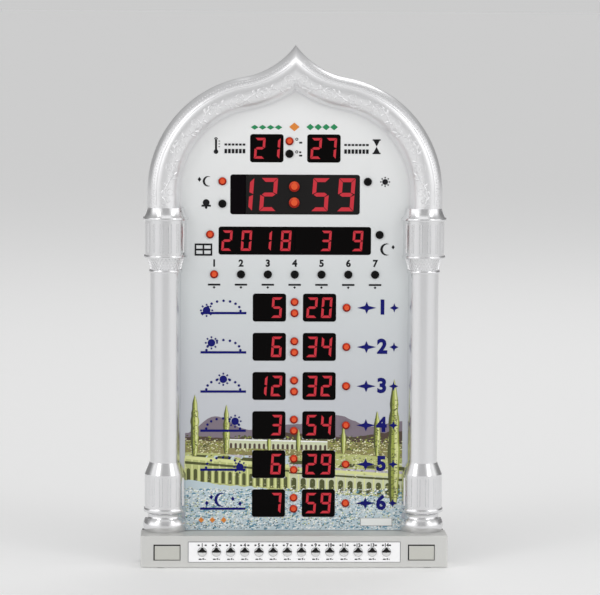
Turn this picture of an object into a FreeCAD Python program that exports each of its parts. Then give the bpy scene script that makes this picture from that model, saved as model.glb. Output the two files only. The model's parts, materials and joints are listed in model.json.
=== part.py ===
"""Digital prayer-time clock in the form of an ogee arch on two columns.

Millimetres.  X runs to the right as the clock is seen, Z runs up, the face looks
towards -Y.  The origin is under the middle of the clock, on the table.
"""
import FreeCAD, Part

import math
import os
from types import SimpleNamespace

import Sketcher
from FreeCAD import Placement, Rotation, Vector

SIZES = {
    # Whole clock
    "overall_height": 460.0,
    "frame_depth": 35.0,
    "cover_depth": 15.0,
    "button_proud": 1.6,
    "moulding_wall": 2.2,
    "foot_proud": 0.6,
    "panel_seat": 4.0,
    "seat_gap": 0.3,
    # Plinth
    "plinth_width": 271.0,
    "plinth_top": 29.0,
    "plinth_edge_r": 1.2,
    # Columns, from the plinth upwards
    "column_inset": 21.5,
    "shaft_r": 13.6,
    "torus_height": 11.5,
    "torus_r": 19.5,
    "scotia_height": 6.0,
    "scotia_r": 15.9,
    "foot_ring_height": 3.4,
    "foot_ring_r": 19.2,
    "lower_block_height": 30.2,
    "block_r": 18.2,
    "flare_height": 10.4,
    "neck_ring_height": 2.6,
    "neck_ring_r": 14.7,
    "echinus_height": 10.6,
    "echinus_top_r": 16.4,
    "drum_ring_height": 2.6,
    "drum_ring_r": 19.3,
    "upper_block_height": 30.9,
    "crown_ring_height": 2.6,
    "crown_ring_r": 20.2,
    "cavetto_height": 8.4,
    "cavetto_r": 16.3,
    "flute_r": 1.5,
    "flute_bite": 1.0,
    "flute_end": 2.6,
    "flute_angle": 24.0,
    # Arch
    "arch_height_ratio": 1.257,
    "arch_r_ratio": 0.8991,
    "arch_turn": 80.0,
    "ogee_r_ratio": 0.6316,
    "arch_width": 30.0,
    "arch_rise": 15.0,
    "arch_lip": 1.8,
    "lip_height": 1.4,
    # Face panel
    "panel_thickness": 2.0,
    "panel_past_column": 11.0,
    "window_corner_r": 2.4,
    "small_window_width": 29.6,
    "small_window_height": 25.0,
    "top_window_x": 25.2,
    "top_window_rise": 52.4,
    "clock_window_x": 0.0,
    "clock_window_width": 114.6,
    "clock_window_height": 35.4,
    "clock_window_rise": 11.6,
    "date_window_width": 135.0,
    "date_window_height": 25.0,
    "date_window_drop": 29.3,
    "row_window_x": 22.2,
    "row_z": 53.5,
    "first_row_drop": 29.4,
    # Displays and lamps
    "display_step": 0.4,
    "display_depth": 8.8,
    "display_gap": 0.3,
    "lamp_r": 3.5,
    "lamp_gap": 0.15,
    "lamp_proud": 2.2,
    "lamp_shoulder": 1.0,
    "clock_lamp_r": 4.6,
    "clock_colon_x": -0.8,
    "clock_colon_spread": 7.1,
    "filter_width": 13.7,
    "receiver_width": 7.5,
    "mode_lamp_gap": 6.9,
    "mode_lamp_rise": 11.5,
    "mode_lamp_drop": 8.3,
    "degree_lamp_x": -5.2,
    "degree_lamp_rise": 6.3,
    "degree_lamp_drop": 4.8,
    "calendar_lamp_gap": 7.5,
    "calendar_lamp_rise": 5.4,
    "weekday_drop": 59.2,
    "weekday_pitch": 23.75,
    "row_colon_spread": 4.95,
    "row_lamp_x": 46.2,
    # Key strip
    "strip_margin": 41.7,
    "strip_height": 18.5,
    "strip_thickness": 0.8,
    "strip_z": 14.6,
    "key_count": 14,
    "strip_end": 12.55,
    "key_r": 3.8,
    "key_gap": 0.4,
    "key_travel": 0.8,
    "key_dome": 0.7,
    "key_flange_r": 4.9,
    "key_flange_thickness": 1.0,
    "key_stem_r": 2.0,
    "key_stem_length": 0.8,
    "key_play": 0.2,
    "switch_width": 6.0,
    "switch_height": 3.5,
    "plunger_r": 1.6,
    "plunger_height": 1.0,
    "inset_from_end": 23.3,
    "inset_z": 14.0,
    "inset_width": 24.0,
    "inset_height": 14.4,
    "inset_recess": 1.3,
    "inset_plate_thickness": 0.8,
    "inset_gap": 0.6,
    # Boards
    "board_thickness": 1.6,
    "chip_thickness": 1.8,
    "main_chip_half_width": 12.0,
    "main_chip_half_height": 8.0,
    "chip_half_width": 9.0,
    "chip_half_height": 5.0,
    "board_half_width": 80.0,
    "board_top_rise": 26.7,
    "board_step_drop": 11.5,
    "board_bottom_z": 37.0,
    "board_speaker_room": 35.0,
    "board_bay_room": 30.0,
    "key_board_margin": 39.5,
    "key_board_height": 20.0,
    # Screws
    "cover_screw_r": 1.45,
    "cover_screw_head_r": 2.8,
    "cover_screw_head": 2.0,
    "cover_screw_bite": 12.0,
    "pilot_r": 1.55,
    "boss_r": 3.6,
    "boss_gap": 0.4,
    "well_r": 5.0,
    "well_bore_r": 3.4,
    "well_depth": 10.8,
    "shoulder_turn": 45.0,
    "tip_boss_drop": 24.0,
    "column_boss_low_z": 102.0,
    "column_boss_drop": 94.7,
    "plinth_boss_from_end": 7.1,
    "plinth_boss_z": 14.6,
    "board_screw_r": 1.15,
    "board_screw_head_r": 2.4,
    "board_screw_head": 1.3,
    "board_screw_bite": 4.6,
    "post_r": 3.2,
    "post_upper_x": 72.0,
    "post_top_rise": 15.7,
    "post_middle_rise": 12.5,
    "key_post_margin": 43.9,
    # Rear cover
    "cover_inset": 1.0,
    "cover_edge": 1.0,
    "keyhole_x": 50.0,
    "keyhole_rise_above_foot": 33.3,
    "keyhole_r": 4.0,
    "keyhole_slot": 4.0,
    "keyhole_rise": 9.0,
    "vent_width": 36.0,
    "vent_height": 2.4,
    "vent_pitch": 6.0,
    "vent_count": 5,
    "vent_drop": 20.7,
    # Speaker
    "speaker_from_column": 35.0,
    "speaker_z": 78.0,
    "speaker_r": 25.0,
    "speaker_depth": 13.0,
    "speaker_rim": 2.4,
    "speaker_magnet_r": 12.0,
    "speaker_magnet": 5.0,
    "speaker_wall": 1.5,
    "grille_slot": 2.0,
    "grille_pitch": 4.4,
    "grille_count": 9,
    # Backup cells
    "bay_from_column": 31.0,
    "bay_z": 70.0,
    "cell_r": 5.25,
    "cell_length": 44.5,
    "cell_gap": 0.4,
    "contact_room": 2.6,
    "contact_thickness": 0.5,
    "bay_wall": 1.6,
    "door_ledge": 2.2,
    "door_thickness": 2.0,
    "door_gap": 0.4,
    # Supply socket
    "jack_x": 40.0,
    "jack_z": 16.0,
    "jack_r": 5.4,
    "jack_nose_r": 4.2,
    "jack_length": 11.0,
    "jack_bore_r": 3.2,
    "jack_bore_depth": 9.5,
    "jack_pin_r": 1.0,
    "jack_pin_length": 9.0,
    # Cable between the boards
    "cable_x": -22.0,
    "cable_width": 16.0,
    "cable_thickness": 1.0,
    "cable_bend_r": 4.0,
    "plug_height": 5.0,
    "plug_depth": 4.0,
    # Feet
    "foot_x": 118.0,
    "foot_r": 5.0,
    "foot_sink": 1.0,
    "foot_front": 8.0,
    "foot_rear": 6.6,
    "foot_gap": 0.2,
}

doc = FreeCAD.newDocument("PrayerClock")
sheet = doc.addObject("Spreadsheet::Sheet", "Sizes")
for row, (name, number) in enumerate(SIZES.items(), start=1):
    sheet.set(f"A{row}", name)
    sheet.set(f"B{row}", str(number))
    sheet.setAlias(f"B{row}", name)
doc.recompute()


class Size:
    """A length with its number and the spreadsheet formula that gives it."""

    def __init__(self, number, formula):
        self.number = number
        self.formula = formula

    def __float__(self):
        return self.number

    def __add__(self, other):
        return Size(self.number + float(other), f"({self.formula} + {formula(other)})")

    def __radd__(self, other):
        return Size(float(other) + self.number, f"({formula(other)} + {self.formula})")

    def __sub__(self, other):
        return Size(self.number - float(other), f"({self.formula} - {formula(other)})")

    def __rsub__(self, other):
        return Size(float(other) - self.number, f"({formula(other)} - {self.formula})")

    def __mul__(self, other):
        return Size(self.number * float(other), f"({self.formula} * {formula(other)})")

    __rmul__ = __mul__

    def __truediv__(self, other):
        return Size(self.number / float(other), f"({self.formula} / {formula(other)})")

    def __neg__(self):
        return Size(-self.number, f"(0 - {self.formula})")


def formula(value):
    return value.formula if isinstance(value, Size) else repr(float(value))


d = SimpleNamespace(**{
    name: Size(float(sheet.get(name)), f"Sizes.{name}") for name in SIZES
})

# Places across the clock that follow its width
d.column_x = d.plinth_width / 2 - d.column_inset
d.panel_half_width = d.column_x + d.panel_past_column
d.arch_r = d.column_x * d.arch_r_ratio
d.ogee_r = d.column_x * d.ogee_r_ratio
d.arch_x = d.column_x + d.cavetto_r - d.arch_r
d.strip_width = d.plinth_width - d.strip_margin * 2
d.key_pitch = (d.strip_width - d.strip_end * 2) / (d.key_count - 1)
d.key_board_half_width = d.plinth_width / 2 - d.key_board_margin
d.key_post_x = d.plinth_width / 2 - d.key_post_margin
d.inset_x = d.plinth_width / 2 - d.inset_from_end
d.plinth_boss_x = d.plinth_width / 2 - d.plinth_boss_from_end
d.speaker_x = d.speaker_from_column - d.column_x
d.bay_x = d.column_x - d.bay_from_column
d.board_left = d.speaker_x + d.board_speaker_room
d.board_right = d.bay_x - d.board_bay_room
d.mode_lamp_x = d.clock_window_width / 2 + d.mode_lamp_gap
d.calendar_lamp_x = d.date_window_width / 2 + d.calendar_lamp_gap

# The shaft takes up whatever height the other pieces leave
d.arch_height = d.column_x * d.arch_height_ratio
d.shaft_height = (
    d.overall_height - d.arch_height - d.plinth_top - d.torus_height - d.scotia_height
    - d.foot_ring_height - d.lower_block_height - d.flare_height - d.neck_ring_height
    - d.echinus_height - d.drum_ring_height - d.upper_block_height - d.crown_ring_height
    - d.cavetto_height
)

# Planes across the depth of the clock
FRONT = -((d.frame_depth + d.cover_depth - d.button_proud) / 2)
FRAME_BACK = FRONT + d.frame_depth
PANEL_FRONT = FRAME_BACK - d.panel_seat
PANEL_BACK = PANEL_FRONT + d.panel_thickness
BACK = FRAME_BACK + d.cover_depth
COVER_INSIDE = BACK - d.moulding_wall
DISPLAY_FRONT = PANEL_FRONT + d.display_step
BOARD_FRONT = DISPLAY_FRONT + d.display_depth
BOARD_BACK = BOARD_FRONT + d.board_thickness
PLINTH_INSIDE = FRONT + d.moulding_wall
SCREW_SEAT = BACK - d.well_depth

# Levels up the column
COLUMN_STEPS = [
    d.torus_height, d.scotia_height, d.foot_ring_height, d.lower_block_height,
    d.flare_height, d.shaft_height, d.neck_ring_height, d.echinus_height,
    d.drum_ring_height, d.upper_block_height, d.crown_ring_height, d.cavetto_height,
]
LEVELS = [d.plinth_top]
for step in COLUMN_STEPS:
    LEVELS.append(LEVELS[-1] + step)
ARCH_FOOT = LEVELS[-1]

# Heights on the face and the back that follow the foot of the arch
d.top_window_z = ARCH_FOOT + d.top_window_rise
d.clock_window_z = ARCH_FOOT + d.clock_window_rise
d.date_window_z = ARCH_FOOT - d.date_window_drop
d.weekday_z = ARCH_FOOT - d.weekday_drop
d.row_pitch = (d.weekday_z - d.first_row_drop - d.row_z) / 5
d.mode_lamp_high_z = d.clock_window_z + d.mode_lamp_rise
d.mode_lamp_low_z = d.clock_window_z - d.mode_lamp_drop
d.degree_lamp_high_z = d.top_window_z + d.degree_lamp_rise
d.degree_lamp_low_z = d.top_window_z - d.degree_lamp_drop
d.calendar_lamp_z = d.date_window_z + d.calendar_lamp_rise
d.board_top_z = d.top_window_z + d.board_top_rise
d.board_step_z = d.weekday_z - d.board_step_drop
d.post_top_z = d.top_window_z + d.post_top_rise
d.post_middle_z = d.weekday_z + d.post_middle_rise
d.tip_boss_z = d.overall_height - d.tip_boss_drop
d.column_boss_high_z = ARCH_FOOT - d.column_boss_drop
d.keyhole_z = ARCH_FOOT + d.keyhole_rise_above_foot
d.vent_z = ARCH_FOOT - d.vent_drop

# The arch: a round shoulder that turns over into a hollow curve up to the tip
ARCH_TURN = math.radians(float(d.arch_turn))
OGEE_X = float(d.arch_x) + (float(d.arch_r) + float(d.ogee_r)) * math.cos(ARCH_TURN)
OGEE_RISE = (float(d.arch_r) + float(d.ogee_r)) * math.sin(ARCH_TURN)
TIP_DROP = math.sqrt(float(d.ogee_r) ** 2 - OGEE_X ** 2)
ARCH_Z = float(d.overall_height) - OGEE_RISE + TIP_DROP
OGEE_Z = ARCH_Z + OGEE_RISE

finished = []


def bind(item, prop, value):
    if isinstance(value, Size):
        item.setExpression(prop, value.formula)
    else:
        item.setExpression(prop, repr(float(value)))


def place(item, x, y, z):
    for axis, value in zip("xyz", (x, y, z)):
        bind(item, f".Placement.Base.{axis}", value)


def piece(item, label):
    """Names a finished sub-part."""
    item.Label = label
    finished.append(item)
    return item


def block(x0, x1, y0, y1, z0, z1):
    item = doc.addObject("Part::Box", "Block")
    bind(item, "Length", x1 - x0)
    bind(item, "Width", y1 - y0)
    bind(item, "Height", z1 - z0)
    place(item, x0, y0, z0)
    return item


def rod(x, z, r, y0, y1):
    """A round bar along Y from y0 back to y1."""
    item = doc.addObject("Part::Cylinder", "Rod")
    item.Placement = Placement(Vector(), Rotation(Vector(1, 0, 0), -90))
    bind(item, "Radius", r)
    bind(item, "Height", y1 - y0)
    place(item, x, y0, z)
    return item


def taper(x, z, r0, r1, y0, y1):
    """A round cone along Y from radius r0 at y0 to r1 at y1."""
    item = doc.addObject("Part::Cone", "Taper")
    item.Placement = Placement(Vector(), Rotation(Vector(1, 0, 0), -90))
    bind(item, "Radius1", r0)
    bind(item, "Radius2", r1)
    bind(item, "Height", y1 - y0)
    place(item, x, y0, z)
    return item


def fuse(parts, name="Joined"):
    item = doc.addObject("Part::MultiFuse", name)
    item.Shapes = parts
    return item


def group(parts, name="Group"):
    item = doc.addObject("Part::Compound", name)
    item.Links = parts
    return item


def cut(base, tools, name="Trimmed"):
    item = doc.addObject("Part::Cut", name)
    item.Base = base
    item.Tool = tools[0] if len(tools) == 1 else fuse(tools)
    return item


def new_body(name):
    return doc.addObject("PartDesign::Body", name)


def plane(body, role):
    return next(f for f in body.Origin.OriginFeatures if f.Role == role)


def sketch_facing(body, y, shift_x=0.0):
    """A sketch in X and Z at depth y, its origin shifted sideways."""
    sketch = body.newObject("Sketcher::SketchObject", "Outline")
    sketch.AttachmentSupport = (plane(body, "XZ_Plane"), [""])
    sketch.MapMode = "FlatFace"
    bind(sketch, ".AttachmentOffset.Base.z", -y if isinstance(y, Size) else -float(y))
    bind(sketch, ".AttachmentOffset.Base.x", shift_x)
    return sketch


def sketch_level(body, z):
    """A sketch in X and Y at height z."""
    sketch = body.newObject("Sketcher::SketchObject", "Plan")
    sketch.AttachmentSupport = (plane(body, "XY_Plane"), [""])
    sketch.MapMode = "FlatFace"
    bind(sketch, ".AttachmentOffset.Base.z", z)
    return sketch


def hold(sketch, kind, geometry, point, value):
    """Fixes a point's distance from the sketch origin along one axis."""
    if abs(float(value)) < 1e-9:
        axis = -2 if kind == "DistanceX" else -1
        sketch.addConstraint(Sketcher.Constraint("PointOnObject", geometry, point, axis))
        return
    index = sketch.addConstraint(
        Sketcher.Constraint(kind, -1, 1, geometry, point, float(value)))
    bind(sketch, f"Constraints[{index}]", value)


def rectangle(sketch, left, low, right, high):
    corners = [(left, low), (right, low), (right, high), (left, high)]
    points = [Vector(float(a), float(b), 0) for a, b in corners]
    first = sketch.GeometryCount
    for k in range(4):
        sketch.addGeometry(Part.LineSegment(points[k], points[(k + 1) % 4]), False)
    for k in range(4):
        sketch.addConstraint(
            Sketcher.Constraint("Coincident", first + k, 2, first + (k + 1) % 4, 1))
        kind = "Horizontal" if k % 2 == 0 else "Vertical"
        sketch.addConstraint(Sketcher.Constraint(kind, first + k))
    hold(sketch, "DistanceX", first, 1, left)
    hold(sketch, "DistanceY", first, 1, low)
    hold(sketch, "DistanceX", first + 1, 2, right)
    hold(sketch, "DistanceY", first + 1, 2, high)


def circle(sketch, x, z, r):
    centre = Vector(float(x), float(z), 0)
    index = sketch.addGeometry(Part.Circle(centre, Vector(0, 0, 1), float(r)), False)
    hold(sketch, "DistanceX", index, 3, x)
    hold(sketch, "DistanceY", index, 3, z)
    constraint = sketch.addConstraint(Sketcher.Constraint("Radius", index, float(r)))
    bind(sketch, f"Constraints[{constraint}]", r)


def arc(cx, cy, r, start, end):
    """An arc from angle start to angle end, in degrees, anticlockwise."""
    full = Part.Circle(Vector(cx, cy, 0), Vector(0, 0, 1), r)
    return Part.ArcOfCircle(full, math.radians(start), math.radians(end))


def rounded_window(sketch, x, z, width, height, r):
    """A rectangle with round corners about its centre."""
    x, z, r = float(x), float(z), float(r)
    a, b = float(width) / 2, float(height) / 2
    for sx, sz, start in ((1, 1, 0), (-1, 1, 90), (-1, -1, 180), (1, -1, 270)):
        sketch.addGeometry(
            arc(x + sx * (a - r), z + sz * (b - r), r, start, start + 90), False)
    sides = [
        ((a - r, b), (-a + r, b)), ((-a, b - r), (-a, -b + r)),
        ((-a + r, -b), (a - r, -b)), ((a, -b + r), (a, b - r)),
    ]
    for (x0, z0), (x1, z1) in sides:
        sketch.addGeometry(
            Part.LineSegment(Vector(x + x0, z + z0, 0), Vector(x + x1, z + z1, 0)), False)


def pad(body, sketch, length, backwards=True):
    """Adds material, towards +Y from a facing sketch when backwards."""
    item = body.newObject("PartDesign::Pad", "Pad")
    item.Profile = sketch
    item.Reversed = backwards
    bind(item, "Length", length)
    sketch.Visibility = False
    body.Tip = item
    return item


def pocket(body, sketch, length, backwards=True):
    """Removes material, towards +Y from a facing sketch when backwards."""
    item = body.newObject("PartDesign::Pocket", "Pocket")
    item.Profile = sketch
    item.Reversed = not backwards
    bind(item, "Length", length)
    body.Tip = item
    return item


def edge_names(item, test):
    return [f"Edge{k}" for k, edge in enumerate(item.Shape.Edges, start=1) if test(edge)]


def spans(edge, axis):
    """How far an edge reaches along one axis."""
    box = edge.BoundBox
    return {"x": box.XLength, "y": box.YLength, "z": box.ZLength}[axis]


def ogee_outline(sketch, half_width, foot_z, inset, base=None):
    """The clock's outline, inset from the arch, with straight sides below it.

    base, where given, is the wider part at the plinth: its half width, its
    bottom and its top.
    """
    r = float(d.arch_r) - inset
    ogee_r = float(d.ogee_r) + inset
    side = float(half_width)
    shoulder = float(d.arch_x) + r
    turn = float(d.arch_turn)
    tip_turn = 180 + math.degrees(math.acos(OGEE_X / ogee_r))
    points = [(side, foot_z)]
    if base:
        half, low, high = (float(value) for value in base)
        points = [(half, low), (half, high), (side, high)]
    arch_foot = float(ARCH_FOOT)
    if abs(shoulder - side) > 1e-6:
        points += [(side, arch_foot - abs(shoulder - side)), (shoulder, arch_foot)]
    points.append((shoulder, ARCH_Z))
    for sign in (1, -1):
        for (x0, z0), (x1, z1) in zip(points, points[1:]):
            ends = Vector(sign * x0, z0, 0), Vector(sign * x1, z1, 0)
            sketch.addGeometry(Part.LineSegment(*ends), False)
    sketch.addGeometry(arc(float(d.arch_x), ARCH_Z, r, 0, turn), False)
    sketch.addGeometry(arc(OGEE_X, OGEE_Z, ogee_r, 360 - tip_turn, 180 + turn), False)
    sketch.addGeometry(arc(-float(d.arch_x), ARCH_Z, r, 180 - turn, 180), False)
    sketch.addGeometry(arc(-OGEE_X, OGEE_Z, ogee_r, 360 - turn, tip_turn + 180), False)
    low_x, low_z = points[0]
    sketch.addGeometry(
        Part.LineSegment(Vector(-low_x, low_z, 0), Vector(low_x, low_z, 0)), False)


# Where the rear cover is screwed to the mouldings
SHOULDER = math.radians(float(d.shoulder_turn))
ARCH_MIDDLE_R = float(d.arch_r - d.arch_width / 2)
SHOULDER_X = float(d.arch_x) + ARCH_MIDDLE_R * math.cos(SHOULDER)
SHOULDER_Z = ARCH_Z + ARCH_MIDDLE_R * math.sin(SHOULDER)
ARCH_BOSSES = [(0.0, d.tip_boss_z), (SHOULDER_X, SHOULDER_Z), (-SHOULDER_X, SHOULDER_Z)]
COLUMN_BOSSES = [d.column_boss_low_z, d.column_boss_high_z]
PLINTH_BOSSES = [(d.plinth_boss_x, d.plinth_boss_z), (-d.plinth_boss_x, d.plinth_boss_z)]
COVER_FIXINGS = ARCH_BOSSES + PLINTH_BOSSES + [
    (side * d.column_x, z) for side in (1, -1) for z in COLUMN_BOSSES
]
KEY_X = [(k - (float(d.key_count) - 1) / 2) * d.key_pitch for k in range(int(float(d.key_count)))]
ROWS_Z = [d.row_z + (5 - k) * d.row_pitch for k in range(6)]
BOARD_FIXINGS = [
    (d.post_upper_x, d.post_top_z), (-d.post_upper_x, d.post_top_z),
    (d.post_upper_x, d.post_middle_z), (-d.post_upper_x, d.post_middle_z),
    (0.0, (ROWS_Z[0] + ROWS_Z[1]) / 2), (0.0, (ROWS_Z[4] + ROWS_Z[5]) / 2),
]


def base_plinth():
    """The plinth moulding: a box open at the back, with the key strip's recess."""
    body = new_body("Plinth")
    half = d.plinth_width / 2
    outline = sketch_facing(body, FRONT)
    rectangle(outline, -half, d.foot_proud, half, d.plinth_top)
    shell = pad(body, outline, d.frame_depth)
    doc.recompute()
    front = float(FRONT)
    rounded = body.newObject("PartDesign::Fillet", "SoftEdges")
    names = edge_names(shell, lambda e: e.BoundBox.YMax < front + 0.1)
    names += edge_names(shell, lambda e: spans(e, "y") > float(d.frame_depth) - 0.1)
    rounded.Base = (shell, names)
    bind(rounded, "Radius", d.plinth_edge_r)
    body.Tip = rounded

    wall = d.moulding_wall
    hollow = sketch_facing(body, PLINTH_INSIDE)
    rectangle(hollow, wall - half, d.foot_proud + wall, half - wall, d.plinth_top - wall)
    pocket(body, hollow, d.frame_depth)

    strip = sketch_facing(body, FRONT)
    rounded_window(strip, 0, d.strip_z, d.strip_width + 2 * d.foot_gap,
                   d.strip_height + 2 * d.foot_gap, 1.0)
    pocket(body, strip, d.strip_thickness)

    insets = sketch_facing(body, FRONT)
    for side in (1, -1):
        rectangle(insets, side * d.inset_x - d.inset_width / 2, d.inset_z - d.inset_height / 2,
                  side * d.inset_x + d.inset_width / 2, d.inset_z + d.inset_height / 2)
    pocket(body, insets, d.inset_recess)

    keys = sketch_facing(body, FRONT)
    for x in KEY_X:
        circle(keys, x, d.strip_z, d.key_r + d.key_gap)
    pocket(body, keys, 2 * wall)

    bosses = sketch_facing(body, FRAME_BACK)
    for x, z in PLINTH_BOSSES:
        circle(bosses, x, z, d.boss_r)
    pad(body, bosses, d.frame_depth - wall / 2, backwards=False)

    posts = sketch_facing(body, KEY_BOARD_FRONT)
    for side in (1, -1):
        circle(posts, side * d.key_post_x, d.strip_z, d.post_r)
    pad(body, posts, KEY_BOARD_FRONT - PLINTH_INSIDE + wall / 4, backwards=False)

    pilots = sketch_facing(body, FRAME_BACK)
    for x, z in PLINTH_BOSSES:
        circle(pilots, x, z, d.pilot_r)
    pocket(body, pilots, d.cover_screw_bite + 2 * wall, backwards=False)

    key_pilots = sketch_facing(body, KEY_BOARD_FRONT)
    for side in (1, -1):
        circle(key_pilots, side * d.key_post_x, d.strip_z, d.board_screw_r + d.foot_gap / 2)
    pocket(body, key_pilots, d.board_screw_bite + 2 * d.foot_gap, backwards=False)

    pads_below = sketch_level(body, d.foot_proud)
    for side in (1, -1):
        circle(pads_below, side * d.foot_x, FRONT + d.foot_front, d.foot_r + d.foot_gap)
    pocket(body, pads_below, d.foot_sink, backwards=False)
    piece(body, "base_plinth")


def column_profile(sketch, inset):
    """Half the outline of a column from its axis outwards, every wall taken in by inset."""
    z = [float(level) for level in LEVELS]
    r = SimpleNamespace(**{
        name: float(getattr(d, name)) - inset
        for name in ("torus_r", "scotia_r", "foot_ring_r", "block_r", "shaft_r", "neck_ring_r",
                     "echinus_top_r", "drum_ring_r", "crown_ring_r", "cavetto_r")
    })
    low, high = z[0] + inset, z[12] - inset
    waist = (r.torus_r + r.scotia_r) / 2
    lines = [
        ((0, low), (r.torus_r - 2, low)),
        ((waist, z[1]), (r.scotia_r, z[1])),
        ((r.scotia_r + 1.6, z[2]), (r.foot_ring_r - 0.4, z[2])),
        ((r.foot_ring_r - 0.4, z[3]), (r.block_r, z[3])),
        ((r.block_r, z[3]), (r.block_r, z[4])),
        ((r.block_r, z[4]), (r.shaft_r + 0.4, z[5])),
        ((r.shaft_r + 0.4, z[5]), (r.shaft_r, z[5])),
        ((r.shaft_r, z[5]), (r.shaft_r, z[6])),
        ((r.shaft_r, z[6]), (r.neck_ring_r - 0.4, z[6])),
        ((r.neck_ring_r - 0.4, z[7]), (r.shaft_r, z[7])),
        ((r.echinus_top_r, z[8]), (r.drum_ring_r - 0.4, z[8])),
        ((r.drum_ring_r - 0.4, z[9]), (r.block_r, z[9])),
        ((r.block_r, z[9]), (r.block_r, z[10])),
        ((r.block_r, z[10]), (r.crown_ring_r - 0.4, z[10])),
        ((r.crown_ring_r - 0.4, z[11]), (r.crown_ring_r - 1.2, z[11])),
        ((r.cavetto_r, high), (0, high)),
        ((0, high), (0, low)),
    ]
    curves = [
        ((r.torus_r - 2, low), (r.torus_r, (low + z[1]) / 2 - 0.6), (waist, z[1])),
        ((r.scotia_r, z[1]), (r.scotia_r - 0.7, (z[1] + z[2]) / 2), (r.scotia_r + 1.6, z[2])),
        ((r.foot_ring_r - 0.4, z[2]), (r.foot_ring_r, (z[2] + z[3]) / 2),
         (r.foot_ring_r - 0.4, z[3])),
        ((r.neck_ring_r - 0.4, z[6]), (r.neck_ring_r, (z[6] + z[7]) / 2),
         (r.neck_ring_r - 0.4, z[7])),
        ((r.shaft_r, z[7]), (r.shaft_r + 1.0, (z[7] + z[8]) / 2), (r.echinus_top_r, z[8])),
        ((r.drum_ring_r - 0.4, z[8]), (r.drum_ring_r, (z[8] + z[9]) / 2),
         (r.drum_ring_r - 0.4, z[9])),
        ((r.crown_ring_r - 0.4, z[10]), (r.crown_ring_r, (z[10] + z[11]) / 2),
         (r.crown_ring_r - 0.4, z[11])),
        ((r.crown_ring_r - 1.2, z[11]), (r.cavetto_r + 0.8, (z[11] + high) / 2 - 0.4),
         (r.cavetto_r, high)),
    ]
    for start, end in lines:
        if math.dist(start, end) > 1e-6:
            ends = Vector(*start, 0), Vector(*end, 0)
            sketch.addGeometry(Part.LineSegment(*ends), False)
    for start, middle, end in curves:
        sketch.addGeometry(
            Part.Arc(Vector(*start, 0), Vector(*middle, 0), Vector(*end, 0)), False)


def right_column():
    """A half-round hollow column, turned about its axis, with an outer wall to the back."""
    body = new_body("Column")
    wall = d.moulding_wall
    profile = sketch_facing(body, PANEL_FRONT, d.column_x)
    column_profile(profile, 0.0)
    turned = body.newObject("PartDesign::Revolution", "Turned")
    turned.Profile = profile
    turned.ReferenceAxis = (profile, ["V_Axis"])
    turned.Angle = 180
    turned.Reversed = True
    body.Tip = turned
    pad(body, profile, d.panel_seat)

    hollow = sketch_facing(body, PANEL_FRONT, d.column_x)
    column_profile(hollow, float(wall))
    hollowed = body.newObject("PartDesign::Groove", "Hollowed")
    hollowed.Profile = hollow
    hollowed.ReferenceAxis = (hollow, ["V_Axis"])
    hollowed.Angle = 180
    hollowed.Reversed = True
    body.Tip = hollowed

    room = sketch_facing(body, PANEL_FRONT, d.column_x)
    rectangle(room, -wall, LEVELS[0] - wall, d.shaft_r - wall, LEVELS[12] + wall)
    pocket(body, room, 2 * d.panel_seat)

    bosses = sketch_facing(body, FRAME_BACK, d.column_x)
    for z in COLUMN_BOSSES:
        circle(bosses, 0, z, d.boss_r)
    pad(body, bosses, d.panel_seat + d.shaft_r - wall / 2, backwards=False)

    pilots = sketch_facing(body, FRAME_BACK, d.column_x)
    for z in COLUMN_BOSSES:
        circle(pilots, 0, z, d.pilot_r)
    pocket(body, pilots, d.cover_screw_bite, backwards=False)

    for low, high in ((LEVELS[3], LEVELS[4]), (LEVELS[9], LEVELS[10])):
        flutes = sketch_level(body, low + d.flute_end)
        reach = float(d.block_r - d.flute_bite + d.flute_r)
        for step in (-2.5, -1.5, -0.5, 0.5, 1.5, 2.5):
            angle = math.radians(step * float(d.flute_angle) - 90)
            centre = Vector(float(d.column_x) + reach * math.cos(angle),
                            float(PANEL_FRONT) + reach * math.sin(angle), 0)
            flutes.addGeometry(Part.Circle(centre, Vector(0, 0, 1), float(d.flute_r)), False)
        pocket(body, flutes, high - low - 2 * d.flute_end, backwards=False)
    return piece(body, "right_column")


def mirrored(source, label):
    item = doc.addObject("Part::Mirroring", "Mirrored")
    item.Source = source
    item.Base = Vector(0, 0, 0)
    item.Normal = Vector(1, 0, 0)
    if label:
        piece(item, label)
    return item


def arch_section(sketch):
    """The moulding's section: a hollow half round with a lip against the face panel."""
    base = float(PANEL_FRONT)
    wall = float(d.moulding_wall)
    outer = float(d.arch_x + d.arch_r)
    inner = outer - float(d.arch_width)
    crest = inner + float(d.arch_lip)
    middle = (crest + outer) / 2
    half = (outer - crest) / 2
    rise = float(d.arch_rise)
    lip = float(d.lip_height)
    lip_x = middle - half * math.sqrt(1 - (lip / rise) ** 2)
    back = float(FRAME_BACK)
    centre = Vector(middle, base, 0)
    outside = Part.Ellipse(centre + Vector(0, -rise, 0), centre + Vector(half, 0, 0), centre)
    inside = Part.Ellipse(centre + Vector(0, -(rise - wall), 0),
                          centre + Vector(half - wall, 0, 0), centre)
    lip_turn = math.acos(lip / rise)
    sketch.addGeometry(Part.ArcOfEllipse(outside, -lip_turn, math.pi / 2), False)
    sketch.addGeometry(Part.ArcOfEllipse(inside, -math.pi / 2, math.pi / 2), False)
    corners = [(middle - half + wall, base), (inner, base), (inner, base - lip),
               (lip_x, base - lip)]
    for start, end in zip(corners, corners[1:]):
        sketch.addGeometry(Part.LineSegment(Vector(*start, 0), Vector(*end, 0)), False)
    corners = [(outer, base), (outer, back), (outer - wall, back), (outer - wall, base)]
    for start, end in zip(corners, corners[1:]):
        sketch.addGeometry(Part.LineSegment(Vector(*start, 0), Vector(*end, 0)), False)


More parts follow.
